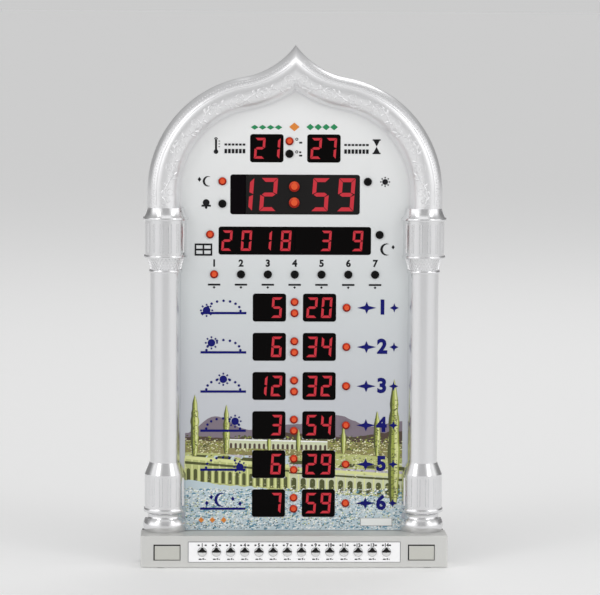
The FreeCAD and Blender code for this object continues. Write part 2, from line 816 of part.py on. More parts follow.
def arch_moulding():
    """Half the arch swept along its centre line, mitred in the middle and mirrored."""
    body = new_body("ArchHalf")
    section = sketch_level(body, ARCH_FOOT)
    arch_section(section)
    path = sketch_facing(body, PANEL_FRONT)
    r = ARCH_MIDDLE_R
    ogee_r = float(d.ogee_r + d.arch_width / 2)
    turn = float(d.arch_turn)
    start_x = float(d.arch_x) + r
    path.addGeometry(Part.LineSegment(
        Vector(start_x, float(ARCH_FOOT), 0), Vector(start_x, ARCH_Z, 0)), False)
    path.addGeometry(arc(float(d.arch_x), ARCH_Z, r, 0, turn), False)
    beyond_tip = math.degrees(math.acos(OGEE_X / float(d.ogee_r))) - 8
    path.addGeometry(arc(OGEE_X, OGEE_Z, ogee_r, 180 + beyond_tip, 180 + turn), False)
    doc.recompute()
    swept = body.newObject("PartDesign::AdditivePipe", "Swept")
    swept.Profile = section
    swept.Spine = (path, ["Edge1", "Edge2", "Edge3"])
    body.Tip = swept
    half = cut(body, [block(-d.plinth_width, 0.0, FRONT - d.arch_rise, BACK,
                            LEVELS[0], d.overall_height * 2)])
    whole = fuse([half, mirrored(half, None)])
    inside_crest = PANEL_FRONT - d.arch_rise + 0.6 * d.moulding_wall
    bosses = [rod(x, z, d.boss_r, inside_crest, FRAME_BACK) for x, z in ARCH_BOSSES]
    pilots = [rod(x, z, d.pilot_r, FRAME_BACK - d.cover_screw_bite, FRAME_BACK + 1.0)
              for x, z in ARCH_BOSSES]
    piece(cut(fuse([whole] + bosses), pilots), "arch_moulding")


def face_panel():
    """The printed face sheet, pierced for every display, lamp and screw boss."""
    body = new_body("Panel")
    outline = sketch_facing(body, PANEL_FRONT)
    ogee_outline(outline, d.panel_half_width, float(d.plinth_top + d.seat_gap),
                 float(d.arch_x + d.arch_r - d.panel_half_width))
    pad(body, outline, d.panel_thickness)
    windows = sketch_facing(body, PANEL_FRONT)
    for x, z, width, height in WINDOWS.values():
        rounded_window(windows, x, z, width, height, d.window_corner_r)
    pocket(body, windows, 2 * d.panel_thickness)
    holes = sketch_facing(body, PANEL_FRONT)
    for lamps in (MODE_LAMPS, WEEKDAY_LAMPS, ROW_COLONS, ROW_LAMPS):
        for x, z in lamps:
            circle(holes, x, z, d.lamp_r + d.lamp_gap)
    for x, z in COVER_FIXINGS:
        if float(z) > float(d.plinth_top):
            circle(holes, x, z, d.boss_r + d.boss_gap)
    pocket(body, holes, 2 * d.panel_thickness)
    piece(body, "face_panel")


WINDOWS = {
    "temperature_display": (-d.top_window_x, d.top_window_z, d.small_window_width,
                            d.small_window_height),
    "countdown_display": (d.top_window_x, d.top_window_z, d.small_window_width,
                          d.small_window_height),
    "clock_display": (d.clock_window_x, d.clock_window_z, d.clock_window_width, d.clock_window_height),
    "date_display": (d.clock_window_x, d.date_window_z, d.date_window_width, d.date_window_height),
}
for number, level in enumerate(ROWS_Z, start=1):
    WINDOWS[f"row{number}_hour_display"] = (
        -d.row_window_x, level, d.small_window_width, d.small_window_height)
    WINDOWS[f"row{number}_minute_display"] = (
        d.row_window_x, level, d.small_window_width, d.small_window_height)

MODE_LAMPS = [
    (d.degree_lamp_x, d.degree_lamp_high_z), (d.degree_lamp_x, d.degree_lamp_low_z),
    (-d.mode_lamp_x, d.mode_lamp_high_z), (-d.mode_lamp_x, d.mode_lamp_low_z),
    (d.mode_lamp_x, d.mode_lamp_high_z),
    (-d.calendar_lamp_x, d.calendar_lamp_z), (d.calendar_lamp_x, d.calendar_lamp_z),
]
WEEKDAY_LAMPS = [((k - 3) * d.weekday_pitch, d.weekday_z) for k in range(7)]
ROW_COLONS = [(0.0, z + side * d.row_colon_spread) for z in ROWS_Z for side in (1, -1)]
ROW_LAMPS = [(d.row_lamp_x, z) for z in ROWS_Z]
CLOCK_COLONS = [(d.clock_colon_x, d.clock_window_z + side * d.clock_colon_spread)
                for side in (1, -1)]
KEY_BOARD_FRONT = (PLINTH_INSIDE + d.key_play + d.key_flange_thickness + d.key_stem_length
                   + d.key_travel + d.key_play / 4 + d.plunger_height + d.switch_height)


def display_block(window, front, back):
    """A block that fills a window with the display gap all round."""
    x, z, width, height = window
    gap = d.display_gap
    body = new_body("Display")
    outline = sketch_facing(body, front)
    rounded_window(outline, x, z, width - 2 * gap, height - 2 * gap, d.window_corner_r - gap)
    pad(body, outline, back - front)
    return body


def displays():
    """Seven-segment display blocks, black faces set just behind the panel's front."""
    gap = d.display_gap
    for name, window in WINDOWS.items():
        if name not in ("clock_display", "date_display"):
            piece(display_block(window, DISPLAY_FRONT, BOARD_FRONT), name)

    x, z, width, height = WINDOWS["clock_display"]
    low, high = z - height, z + height
    left, right = x - width, x + width
    split = x - width / 2 + d.filter_width
    whole = display_block(WINDOWS["clock_display"], DISPLAY_FRONT, BOARD_FRONT)
    digits = part_of(whole, split + gap, right, low, high)
    colons = [rod(x0, z0, d.clock_lamp_r + d.lamp_gap, DISPLAY_FRONT - 1.0, BOARD_FRONT + 1.0)
              for x0, z0 in CLOCK_COLONS]
    piece(cut(digits, colons), "clock_display")
    thin = display_block(WINDOWS["clock_display"], DISPLAY_FRONT, PANEL_BACK)
    piece(part_of(thin, left, split, low, high), "infrared_filter")
    half = d.receiver_width / 2
    receiver_x = split - d.filter_width / 2
    piece(block(receiver_x - half, receiver_x + half, PANEL_BACK + gap, BOARD_FRONT,
                z - half, z + half), "infrared_receiver")

    x, z, width, height = WINDOWS["date_display"]
    low, high = z - height, z + height
    whole = display_block(WINDOWS["date_display"], DISPLAY_FRONT, BOARD_FRONT)
    piece(part_of(whole, x - width, x - gap / 2, low, high), "year_display")
    piece(part_of(whole, x + gap / 2, x + width, low, high), "month_day_display")


def part_of(whole, x0, x1, z0, z1):
    """What lies of a display block between two upright cuts."""
    item = doc.addObject("Part::Common", "Share")
    item.Base = whole
    item.Tool = block(x0, x1, FRONT, BACK, z0, z1)
    return item


def lamp(x, z, r, back):
    """A domed lamp that stands on the board and pokes through the panel."""
    apex = PANEL_FRONT - d.lamp_proud
    shoulder = apex + d.lamp_shoulder
    body = rod(x, z, r, shoulder, back)
    dome = taper(x, z, r * 0.6, r, apex, shoulder)
    return fuse([body, dome])


def lamps():
    """Lamps through the face, standing on the display board."""
    for label, places, r in (
            ("mode_lamps", MODE_LAMPS, d.lamp_r), ("weekday_lamps", WEEKDAY_LAMPS, d.lamp_r),
            ("row_colon_lamps", ROW_COLONS, d.lamp_r), ("row_lamps", ROW_LAMPS, d.lamp_r),
            ("clock_colon_lamps", CLOCK_COLONS, d.clock_lamp_r)):
        piece(group([lamp(x, z, r, BOARD_FRONT) for x, z in places]), label)


def label_strip():
    """The thin key label let into the plinth, with a hole for every key."""
    body = new_body("Strip")
    outline = sketch_facing(body, FRONT)
    rounded_window(outline, 0, d.strip_z, d.strip_width, d.strip_height, 0.8)
    pad(body, outline, d.strip_thickness)
    holes = sketch_facing(body, FRONT)
    for x in KEY_X:
        circle(holes, x, d.strip_z, d.key_r + d.key_gap)
    pocket(body, holes, 2 * d.strip_thickness)
    piece(body, "label_strip")


def inset_plate(side, label):
    """A small bevelled plate in the bottom of its recess beside the key strip."""
    body = new_body("Inset")
    bottom = FRONT + d.inset_recess
    outline = sketch_facing(body, bottom - d.inset_plate_thickness)
    rectangle(outline, side * d.inset_x - d.inset_width / 2 + d.inset_gap,
              d.inset_z - d.inset_height / 2 + d.inset_gap,
              side * d.inset_x + d.inset_width / 2 - d.inset_gap,
              d.inset_z + d.inset_height / 2 - d.inset_gap)
    plate = pad(body, outline, d.inset_plate_thickness)
    doc.recompute()
    front = float(bottom - d.inset_plate_thickness)
    bevel = body.newObject("PartDesign::Chamfer", "Bevel")
    bevel.Base = (plate, edge_names(plate, lambda e: e.BoundBox.YMax < front + 0.1))
    bind(bevel, "Size", d.inset_plate_thickness / 2)
    body.Tip = bevel
    piece(body, label)


def key(x, label):
    """A round key: domed cap, a flange that keeps it in, a stem on its switch."""
    body = new_body("Key")
    profile = body.newObject("Sketcher::SketchObject", "KeyProfile")
    profile.AttachmentSupport = (plane(body, "XY_Plane"), [""])
    profile.MapMode = "FlatFace"
    bind(profile, ".AttachmentOffset.Base.x", x)
    bind(profile, ".AttachmentOffset.Base.z", d.strip_z)
    apex = float(FRONT - d.button_proud)
    rim = apex + float(d.key_dome)
    flange = float(PLINTH_INSIDE + d.key_play)
    flange_back = flange + float(d.key_flange_thickness)
    stem_end = flange_back + float(d.key_stem_length)
    r, flange_r, stem_r = float(d.key_r), float(d.key_flange_r), float(d.key_stem_r)
    corners = [(r, rim), (r, flange), (flange_r, flange), (flange_r, flange_back),
               (stem_r, flange_back), (stem_r, stem_end), (0, stem_end), (0, apex)]
    for start, end in zip(corners, corners[1:]):
        profile.addGeometry(Part.LineSegment(Vector(*start, 0), Vector(*end, 0)), False)
    sag = float(d.key_dome)
    dome_r = (r * r + sag * sag) / (2 * sag)
    part_way = r / 2
    middle = (part_way, apex + dome_r - math.sqrt(dome_r ** 2 - part_way ** 2))
    profile.addGeometry(
        Part.Arc(Vector(0, apex, 0), Vector(*middle, 0), Vector(r, rim, 0)), False)
    turned = body.newObject("PartDesign::Revolution", "KeyTurned")
    turned.Profile = profile
    turned.ReferenceAxis = (profile, ["V_Axis"])
    turned.Angle = 360
    body.Tip = turned
    piece(body, label)


def key_switches_and_board():
    """A tact switch behind every key, all on one narrow board."""
    face = KEY_BOARD_FRONT - d.switch_height
    switches = []
    for x in KEY_X:
        case = block(x - d.switch_width / 2, x + d.switch_width / 2, face, KEY_BOARD_FRONT,
                     d.strip_z - d.switch_width / 2, d.strip_z + d.switch_width / 2)
        plunger = rod(x, d.strip_z, d.plunger_r, face - d.plunger_height, face)
        switches.append(fuse([case, plunger]))
    piece(group(switches), "key_switches")
    board = block(-d.key_board_half_width, d.key_board_half_width, KEY_BOARD_FRONT,
                  KEY_BOARD_FRONT + d.board_thickness, d.strip_z - d.key_board_height / 2,
                  d.strip_z + d.key_board_height / 2)
    holes = [rod(side * d.key_post_x, d.strip_z, d.board_screw_r + d.foot_gap,
                 KEY_BOARD_FRONT - 1.0, KEY_BOARD_FRONT + d.board_thickness + 1.0)
             for side in (1, -1)]
    piece(cut(board, holes), "key_board")


def display_board():
    """The display board: wide behind the clock and calendar, narrow behind the rows."""
    upper = block(-d.board_half_width, d.board_half_width, BOARD_FRONT, BOARD_BACK,
                  d.board_step_z, d.board_top_z)
    lower = block(d.board_left, d.board_right, BOARD_FRONT, BOARD_BACK,
                  d.board_bottom_z, d.board_step_z + 1.0)
    holes = [rod(x, z, d.board_screw_r + d.foot_gap, BOARD_FRONT - 1.0, BOARD_BACK + 1.0)
             for x, z in BOARD_FIXINGS]
    piece(cut(fuse([upper, lower]), holes), "display_board")
    main = (d.main_chip_half_width, d.main_chip_half_height, d.clock_window_z)
    small = [(d.chip_half_width, d.chip_half_height, z)
             for z in (d.top_window_z, d.weekday_z, ROWS_Z[1], ROWS_Z[3])]
    piece(group([block(-half, half, BOARD_BACK, BOARD_BACK + d.chip_thickness, z - rise, z + rise)
                 for half, rise, z in [main] + small]), "driver_chips")


def screw(x, z, shank_r, head_r, seat, head, bite):
    """A pan-head screw that points forward from its seat, head to the back."""
    shank = rod(x, z, shank_r, seat - bite, seat)
    top = rod(x, z, head_r, seat, seat + head)
    return fuse([shank, top])


def screws():
    """Cover screws in their wells, and the short screws of the two boards."""
    bite = SCREW_SEAT - FRAME_BACK + d.cover_screw_bite - 2.0
    piece(group([screw(x, z, d.cover_screw_r, d.cover_screw_head_r, SCREW_SEAT,
                       d.cover_screw_head, bite) for x, z in COVER_FIXINGS]), "cover_screws")
    small = []
    for x, z in BOARD_FIXINGS:
        shank = rod(x, z, d.board_screw_r, BOARD_FRONT, BOARD_FRONT + d.board_screw_bite)
        top = rod(x, z, d.board_screw_head_r, BOARD_FRONT - d.board_screw_head, BOARD_FRONT)
        small.append(fuse([shank, top]))
    seat = KEY_BOARD_FRONT + d.board_thickness
    for side in (1, -1):
        small.append(screw(side * d.key_post_x, d.strip_z, d.board_screw_r,
                           d.board_screw_head_r, seat, d.board_screw_head,
                           d.board_screw_bite))
    piece(group(small), "board_screws")


def bay_half_width():
    return d.cell_length / 2 + d.contact_room


def bay_half_height():
    return 2 * d.cell_r + 1.5 * d.cell_gap


def rear_cover():
    """The black rear tray: screw wells, board posts, vents, grille, keyholes and bay."""
    body = new_body("Cover")
    wall = d.moulding_wall
    inset = float(d.cover_inset)
    half = d.plinth_width / 2 - d.cover_inset
    side = d.column_x + d.shaft_r - d.cover_inset
    outline = sketch_facing(body, FRAME_BACK)
    ogee_outline(outline, side, None, inset, (half, d.foot_proud, d.plinth_top - d.cover_inset))
    tray = pad(body, outline, d.cover_depth)
    doc.recompute()
    back = float(BACK)
    soft = body.newObject("PartDesign::Chamfer", "SoftBack")
    soft.Base = (tray, edge_names(tray, lambda e: e.BoundBox.YMin > back - 0.1))
    bind(soft, "Size", d.cover_edge)
    body.Tip = soft

    hollow = sketch_facing(body, FRAME_BACK)
    thick = float(wall)
    ogee_outline(hollow, side - wall, None, inset + thick,
                 (half - wall, d.foot_proud + wall, d.plinth_top - d.cover_inset - wall))
    pocket(body, hollow, d.cover_depth - wall)

    wells = sketch_facing(body, FRAME_BACK)
    for x, z in COVER_FIXINGS:
        circle(wells, x, z, d.well_r)
    pad(body, wells, d.cover_depth - wall / 2)

    posts = sketch_facing(body, BOARD_BACK)
    for x, z in BOARD_FIXINGS:
        circle(posts, x, z, d.post_r)
    pad(body, posts, COVER_INSIDE - BOARD_BACK + wall / 2)

    ring = sketch_facing(body, COVER_INSIDE - 2 * d.speaker_rim)
    circle(ring, d.speaker_x, d.speaker_z, d.speaker_r + d.display_gap + d.speaker_wall)
    circle(ring, d.speaker_x, d.speaker_z, d.speaker_r + d.display_gap)
    pad(body, ring, 2 * d.speaker_rim + wall / 2)

    bay_x, bay_z = bay_half_width(), bay_half_height()
    bay_floor = BACK - d.door_thickness - 2 * d.cell_r - d.cell_gap
    bay = sketch_facing(body, bay_floor - d.bay_wall)
    rectangle(bay, d.bay_x - bay_x - d.bay_wall, d.bay_z - bay_z - d.bay_wall,
              d.bay_x + bay_x + d.bay_wall, d.bay_z + bay_z + d.bay_wall)
    pad(body, bay, BACK - bay_floor)
    bay_room = sketch_facing(body, BACK)
    rectangle(bay_room, d.bay_x - bay_x, d.bay_z - bay_z, d.bay_x + bay_x, d.bay_z + bay_z)
    pocket(body, bay_room, BACK - bay_floor, backwards=False)
    ledge = sketch_facing(body, BACK)
    rectangle(ledge, d.bay_x - bay_x - d.door_ledge, d.bay_z - bay_z - d.door_ledge,
              d.bay_x + bay_x + d.door_ledge, d.bay_z + bay_z + d.door_ledge)
    pocket(body, ledge, d.door_thickness, backwards=False)

    bores = sketch_facing(body, BACK)
    for x, z in COVER_FIXINGS:
        circle(bores, x, z, d.well_bore_r)
    pocket(body, bores, d.well_depth, backwards=False)
    shanks = sketch_facing(body, BACK)
    for x, z in COVER_FIXINGS:
        circle(shanks, x, z, d.pilot_r + d.foot_gap)
    circle(shanks, d.jack_x, d.jack_z, d.jack_nose_r + d.foot_gap)
    pocket(body, shanks, 2 * d.cover_depth, backwards=False)
    pilots = sketch_facing(body, BOARD_BACK)
    for x, z in BOARD_FIXINGS:
        circle(pilots, x, z, d.board_screw_r + d.foot_gap / 2)
    pocket(body, pilots, d.board_screw_bite - d.board_thickness + d.foot_gap)

    slots = sketch_facing(body, BACK)
    for k in range(int(float(d.vent_count))):
        z = float(d.vent_z) + (k - (float(d.vent_count) - 1) / 2) * float(d.vent_pitch)
        slot(slots, 0.0, z, float(d.vent_width), float(d.vent_height))
    reach = float(d.speaker_r) - 2
    for k in range(int(float(d.grille_count))):
        offset = (k - (float(d.grille_count) - 1) / 2) * float(d.grille_pitch)
        length = 2 * math.sqrt(reach ** 2 - offset ** 2)
        slot(slots, float(d.speaker_x), float(d.speaker_z) + offset, length,
             float(d.grille_slot))
    pocket(body, slots, 1.5 * wall, backwards=False)

    keyholes = sketch_facing(body, BACK)
    for side_sign in (1, -1):
        keyhole(keyholes, side_sign * float(d.keyhole_x), float(d.keyhole_z))
    pocket(body, keyholes, 1.5 * wall, backwards=False)

    pads_below = sketch_level(body, d.foot_proud)
    for sign in (1, -1):
        circle(pads_below, sign * d.foot_x, BACK - d.foot_rear, d.foot_r + d.foot_gap)
    pocket(body, pads_below, d.foot_sink, backwards=False)
    piece(body, "rear_cover")


def slot(sketch, x, z, length, height):
    """A level slot with round ends."""
    r = height / 2
    half = length / 2 - r
    sketch.addGeometry(arc(x + half, z, r, -90, 90), False)
    sketch.addGeometry(arc(x - half, z, r, 90, 270), False)
    for side in (r, -r):
        ends = Vector(x - half, z + side, 0), Vector(x + half, z + side, 0)
        sketch.addGeometry(Part.LineSegment(*ends), False)


def keyhole(sketch, x, z):
    """A round entry with a narrow slot that rises from it."""
    r, half = float(d.keyhole_r), float(d.keyhole_slot) / 2
    meet = math.degrees(math.asin(half / r))
    top = z + float(d.keyhole_rise)
    neck = z + math.sqrt(r * r - half * half)
    sketch.addGeometry(arc(x, z, r, 90 + meet, 450 - meet), False)
    sketch.addGeometry(arc(x, top, half, 0, 180), False)
    for side in (half, -half):
        ends = Vector(x + side, neck, 0), Vector(x + side, top, 0)
        sketch.addGeometry(Part.LineSegment(*ends), False)


def battery_door():
    """The cover of the cell bay, with a finger groove near its lower edge."""
    reach_x = bay_half_width() + d.door_ledge - d.door_gap
    reach_z = bay_half_height() + d.door_ledge - d.door_gap
    body = new_body("Door")
    outline = sketch_facing(body, BACK - d.door_thickness)
    rectangle(outline, d.bay_x - reach_x, d.bay_z - reach_z, d.bay_x + reach_x,
              d.bay_z + reach_z)
    pad(body, outline, d.door_thickness)
    groove = sketch_facing(body, BACK)
    slot(groove, float(d.bay_x), float(d.bay_z - reach_z) + 5.0, 14.0, 3.0)
    pocket(body, groove, d.door_thickness / 2, backwards=False)
    piece(body, "battery_door")


def cells():
    """Two backup cells side by side and the spring plates at their ends."""
    middle = BACK - d.door_thickness - d.cell_gap / 2 - d.cell_r
    rise = d.cell_r + d.cell_gap / 4
    cells_made = []
    for side in (1, -1):
        for length, r in ((d.cell_length - 1.0, d.cell_r), (d.cell_length, d.cell_r / 3)):
            item = doc.addObject("Part::Cylinder", "Cell")
            item.Placement = Placement(Vector(), Rotation(Vector(0, 1, 0), side * 90))
            bind(item, "Radius", r)
            bind(item, "Height", length)
            place(item, d.bay_x - side * d.cell_length / 2, middle, d.bay_z + side * rise)
            cells_made.append(item)
    piece(group([fuse(cells_made[:2]), fuse(cells_made[2:])]), "backup_cells")
    plates = []
    for end in (1, -1):
        for side in (1, -1):
            wall_x = d.bay_x + end * bay_half_width()
            tip_x = wall_x - end * d.contact_thickness
            low, high = (tip_x, wall_x) if end > 0 else (wall_x, tip_x)
            centre = d.bay_z + side * rise
            plate = block(low, high, middle - d.cell_r + 1.0, middle + d.cell_r - 1.0,
                          centre - d.cell_r + 1.0, centre + d.cell_r - 1.0)
            spring = doc.addObject("Part::Cone", "Spring")
            spring.Placement = Placement(Vector(), Rotation(Vector(0, 1, 0), -end * 90))
            bind(spring, "Radius1", d.cell_r * 0.6)
            bind(spring, "Radius2", d.cell_r * 0.35)
            bind(spring, "Height", d.contact_room - d.contact_thickness - d.cell_gap / 2)
            place(spring, tip_x, middle, centre)
            plates.append(fuse([plate, spring]))
    piece(group(plates), "cell_contacts")


def speaker():
    """The round speaker: rim on the cover, basket and magnet towards the face."""
    back = COVER_INSIDE
    rim = rod(d.speaker_x, d.speaker_z, d.speaker_r, back - d.speaker_rim, back)
    basket = taper(d.speaker_x, d.speaker_z, d.speaker_magnet_r, d.speaker_r - 2.0,
                   back - d.speaker_depth + d.speaker_magnet, back - d.speaker_rim)
    magnet = rod(d.speaker_x, d.speaker_z, d.speaker_magnet_r, back - d.speaker_depth,
                 back - d.speaker_depth + d.speaker_magnet)
    bowl = taper(d.speaker_x, d.speaker_z, d.speaker_magnet_r / 2, d.speaker_r - 4.0,
                 back - d.speaker_depth + d.speaker_magnet + 1.0, back + 0.5)
    piece(cut(fuse([rim, basket, magnet]), [bowl]), "speaker")


def dc_jack():
    """The supply socket: its nose through the cover, a centre pin in its bore."""
    shell = rod(d.jack_x, d.jack_z, d.jack_r, COVER_INSIDE - d.jack_length, COVER_INSIDE)
    nose = rod(d.jack_x, d.jack_z, d.jack_nose_r, COVER_INSIDE, BACK)
    bore = rod(d.jack_x, d.jack_z, d.jack_bore_r, BACK - d.jack_bore_depth, BACK + 1.0)
    pin = rod(d.jack_x, d.jack_z, d.jack_pin_r, BACK - d.jack_bore_depth,
              BACK - d.jack_bore_depth + d.jack_pin_length)
    piece(fuse([cut(fuse([shell, nose]), [bore]), pin]), "dc_jack")


def board_cable():
    """A flat cable with a plug at each end, from the display board down to the keys."""
    body = new_body("Cable")
    sketch = body.newObject("Sketcher::SketchObject", "CableRun")
    sketch.AttachmentSupport = (plane(body, "YZ_Plane"), [""])
    sketch.MapMode = "FlatFace"
    bind(sketch, ".AttachmentOffset.Base.z", d.cable_x - d.cable_width / 2)
    plug, deep = float(d.plug_height), float(d.plug_depth)
    thick, bend = float(d.cable_thickness), float(d.cable_bend_r)
    board = float(BOARD_BACK)
    top = float(d.board_bottom_z) + 3.0 + plug
    key_back = float(KEY_BOARD_FRONT + d.board_thickness)
    low = float(d.strip_z)
    outer, inner = board + deep - thick / 2, board + deep - 1.5 * thick
    lines = [
        ((board, top), (board + deep, top)), ((board + deep, top), (board + deep, top - plug)),
        ((board + deep, top - plug), (outer, top - plug)),
        ((outer, top - plug), (outer, low + bend)),
        ((outer - bend, low), (key_back + deep, low)),
        ((key_back + deep, low), (key_back + deep, low - plug / 2)),
        ((key_back + deep, low - plug / 2), (key_back, low - plug / 2)),
        ((key_back, low - plug / 2), (key_back, low + plug / 2)),
        ((key_back, low + plug / 2), (key_back + deep, low + plug / 2)),
        ((key_back + deep, low + plug / 2), (key_back + deep, low + thick)),
        ((key_back + deep, low + thick), (outer - bend, low + thick)),
        ((inner, low + bend), (inner, top - plug)),
        ((inner, top - plug), (board, top - plug)),
        ((board, top - plug), (board, top)),
    ]
    for start, end in lines:
        sketch.addGeometry(Part.LineSegment(Vector(*start, 0), Vector(*end, 0)), False)
    sketch.addGeometry(arc(outer - bend, low + bend, bend, 270, 360), False)
    sketch.addGeometry(arc(outer - bend, low + bend, bend - thick, 270, 360), False)
    run = body.newObject("PartDesign::Pad", "CableWidth")
    run.Profile = sketch
    bind(run, "Length", d.cable_width)
    body.Tip = run
    piece(body, "board_cable")


def rubber_feet():
    """Four thin pads let into the underside."""
    feet = []
    for side in (1, -1):
        for y in (FRONT + d.foot_front, BACK - d.foot_rear):
            item = doc.addObject("Part::Cylinder", "Foot")
            bind(item, "Radius", d.foot_r)
            bind(item, "Height", d.foot_proud + d.foot_sink)
            place(item, side * d.foot_x, y, 0.0)
            feet.append(item)
    piece(group(feet), "rubber_feet")


base_plinth()
column = right_column()
mirrored(column, "left_column")
arch_moulding()
face_panel()
displays()
lamps()
label_strip()
inset_plate(-1, "left_inset_plate")
inset_plate(1, "right_inset_plate")
for number, key_x in enumerate(KEY_X, start=1):
    key(key_x, f"key_{number:02d}")
key_switches_and_board()
display_board()
screws()
rear_cover()
battery_door()
cells()
speaker()
dc_jack()
board_cable()
rubber_feet()
doc.recompute()

for item in doc.Objects:
    if "Invalid" in item.State or "Error" in item.State:
        raise RuntimeError(f"{item.Name} ({item.Label}) failed: {item.State}")

os.makedirs("parts", exist_ok=True)
for item in finished:
    shape = item.Shape
    if shape.isNull() or not shape.isValid() or not shape.Solids:
        raise RuntimeError(f"{item.Label} has no valid solid")
    shape.exportStep(f"parts/{item.Label}.step")
print(len(finished), "sub-parts written")
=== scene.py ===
"""Digital prayer clock in an ogee frame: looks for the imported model, in metres."""

import json
import math
import random

import bmesh
import bpy
from mathutils import Matrix, Vector


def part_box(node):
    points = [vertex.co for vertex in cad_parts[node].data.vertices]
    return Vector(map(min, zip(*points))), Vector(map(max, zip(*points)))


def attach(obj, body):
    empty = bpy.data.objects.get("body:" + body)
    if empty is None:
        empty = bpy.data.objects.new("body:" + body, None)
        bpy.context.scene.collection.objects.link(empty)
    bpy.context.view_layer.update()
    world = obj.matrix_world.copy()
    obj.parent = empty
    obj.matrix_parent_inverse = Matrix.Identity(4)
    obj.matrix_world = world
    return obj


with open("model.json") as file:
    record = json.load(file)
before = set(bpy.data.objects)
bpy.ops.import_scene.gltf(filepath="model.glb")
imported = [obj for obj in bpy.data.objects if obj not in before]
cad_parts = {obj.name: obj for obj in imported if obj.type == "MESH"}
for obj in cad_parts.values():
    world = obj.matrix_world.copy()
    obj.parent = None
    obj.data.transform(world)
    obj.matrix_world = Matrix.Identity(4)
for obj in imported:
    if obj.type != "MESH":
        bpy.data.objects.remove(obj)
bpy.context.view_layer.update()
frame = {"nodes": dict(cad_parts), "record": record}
nodes = frame["nodes"]

# Camera: a long lens three metres in front of the clock, a little above it and to its left,
# turned slightly to the right and down and rolled by a third of a degree.
YAW, DIP, TILT = math.radians(2.14), math.radians(4.89), math.radians(0.33)
CAMERA_PLACE = (-0.1075, -2.9992, 0.4945)
ahead = Vector((math.sin(YAW) * math.cos(DIP), math.cos(YAW) * math.cos(DIP), -math.sin(DIP)))
side = Vector((math.cos(YAW), -math.sin(YAW), 0.0))
up = side.cross(ahead)
right_turned = side * math.cos(TILT) + up * math.sin(TILT)
up_turned = up * math.cos(TILT) - side * math.sin(TILT)
camera_data = bpy.data.cameras.new("Camera")
camera_data.sensor_fit = "HORIZONTAL"
camera_data.sensor_width = 36.0
camera_data.lens = 204.64
camera_data.clip_start = 0.1
camera_data.clip_end = 1000.0
camera = bpy.data.objects.new("Camera", camera_data)
bpy.context.collection.objects.link(camera)
turn = Matrix((right_turned, up_turned, -ahead)).transposed().to_4x4()
camera.matrix_world = Matrix.Translation(CAMERA_PLACE) @ turn
scene = bpy.context.scene
scene.camera = camera
scene.view_settings.view_transform = "Standard"


# Surround: a pale studio with a broad white panel to each side, a darker gap in front and
# dark flats behind, so that plated pieces show soft bands. The camera and rays that pass
# through a piece see a plain backdrop instead, and mirrored rays see a share of it.
def add_math(tree, operation, *values):
    """A Math node, whose values are numbers or outputs of other nodes."""
    node = tree.nodes.new("ShaderNodeMath")
    node.operation = operation
    for k, value in enumerate(values):
        if isinstance(value, bpy.types.NodeSocket):
            tree.links.new(value, node.inputs[k])
        else:
            node.inputs[k].default_value = value
    return node.outputs[0]


def add_ramp(tree, factor, stops):
    """A colour ramp with stops of (place, colour), from the lowest place to the highest."""
    node = tree.nodes.new("ShaderNodeValToRGB")
    elements = node.color_ramp.elements
    elements[1].position = stops[-1][0]
    for place, _ in stops[1:-1]:
        elements.new(place)
    for element, (_, colour) in zip(elements, stops):
        element.color = (*colour, 1)
    tree.links.new(factor, node.inputs[0])
    return node.outputs[0]


def add_mix(tree, factor, first, second):
    """A colour mix, whose colours are tuples or outputs of other nodes."""
    node = tree.nodes.new("ShaderNodeMix")
    node.data_type = "RGBA"
    tree.links.new(factor, node.inputs["Factor"])
    for key, value in (("A", first), ("B", second)):
        if isinstance(value, bpy.types.NodeSocket):
            tree.links.new(value, node.inputs[key])
        else:
            node.inputs[key].default_value = (*value, 1)
    return node.outputs["Result"]


# Level of the surround by bearing, as a share of the half turn from the front to the back.
BEARINGS = ((0.0, 0.50), (0.10, 0.32), (0.15, 1.10), (0.24, 1.80), (0.48, 1.80), (0.55, 0.45),
            (0.64, 0.06), (1.0, 0.20))
CEILING = (0.50, 0.50, 0.50)
BACKDROP = (0.60, 0.60, 0.60, 1)
BACKDROP_IN_METAL = 0.30
world = bpy.data.worlds.new("Studio")
scene.world = world
world.use_nodes = True
tree = world.node_tree
tree.nodes.clear()
direction = tree.nodes.new("ShaderNodeTexCoord")
parts = tree.nodes.new("ShaderNodeSeparateXYZ")
tree.links.new(direction.outputs["Generated"], parts.inputs[0])
across = add_math(tree, "ABSOLUTE", parts.outputs[0])
towards = add_math(tree, "MULTIPLY", parts.outputs[1], -1.0)
share = add_math(tree, "DIVIDE", add_math(tree, "ARCTAN2", across, towards), math.pi)
panels = add_ramp(tree, share, [(place, (level,) * 3) for place, level in BEARINGS])
overhead = tree.nodes.new("ShaderNodeMapRange")
overhead.interpolation_type = "SMOOTHSTEP"
overhead.inputs["From Min"].default_value = 0.20
overhead.inputs["From Max"].default_value = 0.75
tree.links.new(parts.outputs[2], overhead.inputs["Value"])
soft = tree.nodes.new("ShaderNodeBackground")
soft.inputs["Strength"].default_value = 0.93
tree.links.new(add_mix(tree, overhead.outputs["Result"], panels, CEILING), soft.inputs["Color"])
plain = tree.nodes.new("ShaderNodeBackground")
plain.inputs["Color"].default_value = BACKDROP
seen = tree.nodes.new("ShaderNodeLightPath")
direct = add_math(tree, "ADD", seen.outputs["Is Camera Ray"], seen.outputs["Is Transmission Ray"])
backdrop = add_math(tree, "MULTIPLY_ADD", seen.outputs["Is Glossy Ray"], BACKDROP_IN_METAL, direct)
choice = tree.nodes.new("ShaderNodeMixShader")
tree.links.new(backdrop, choice.inputs[0])
tree.links.new(soft.outputs[0], choice.inputs[1])
tree.links.new(plain.outputs[0], choice.inputs[2])
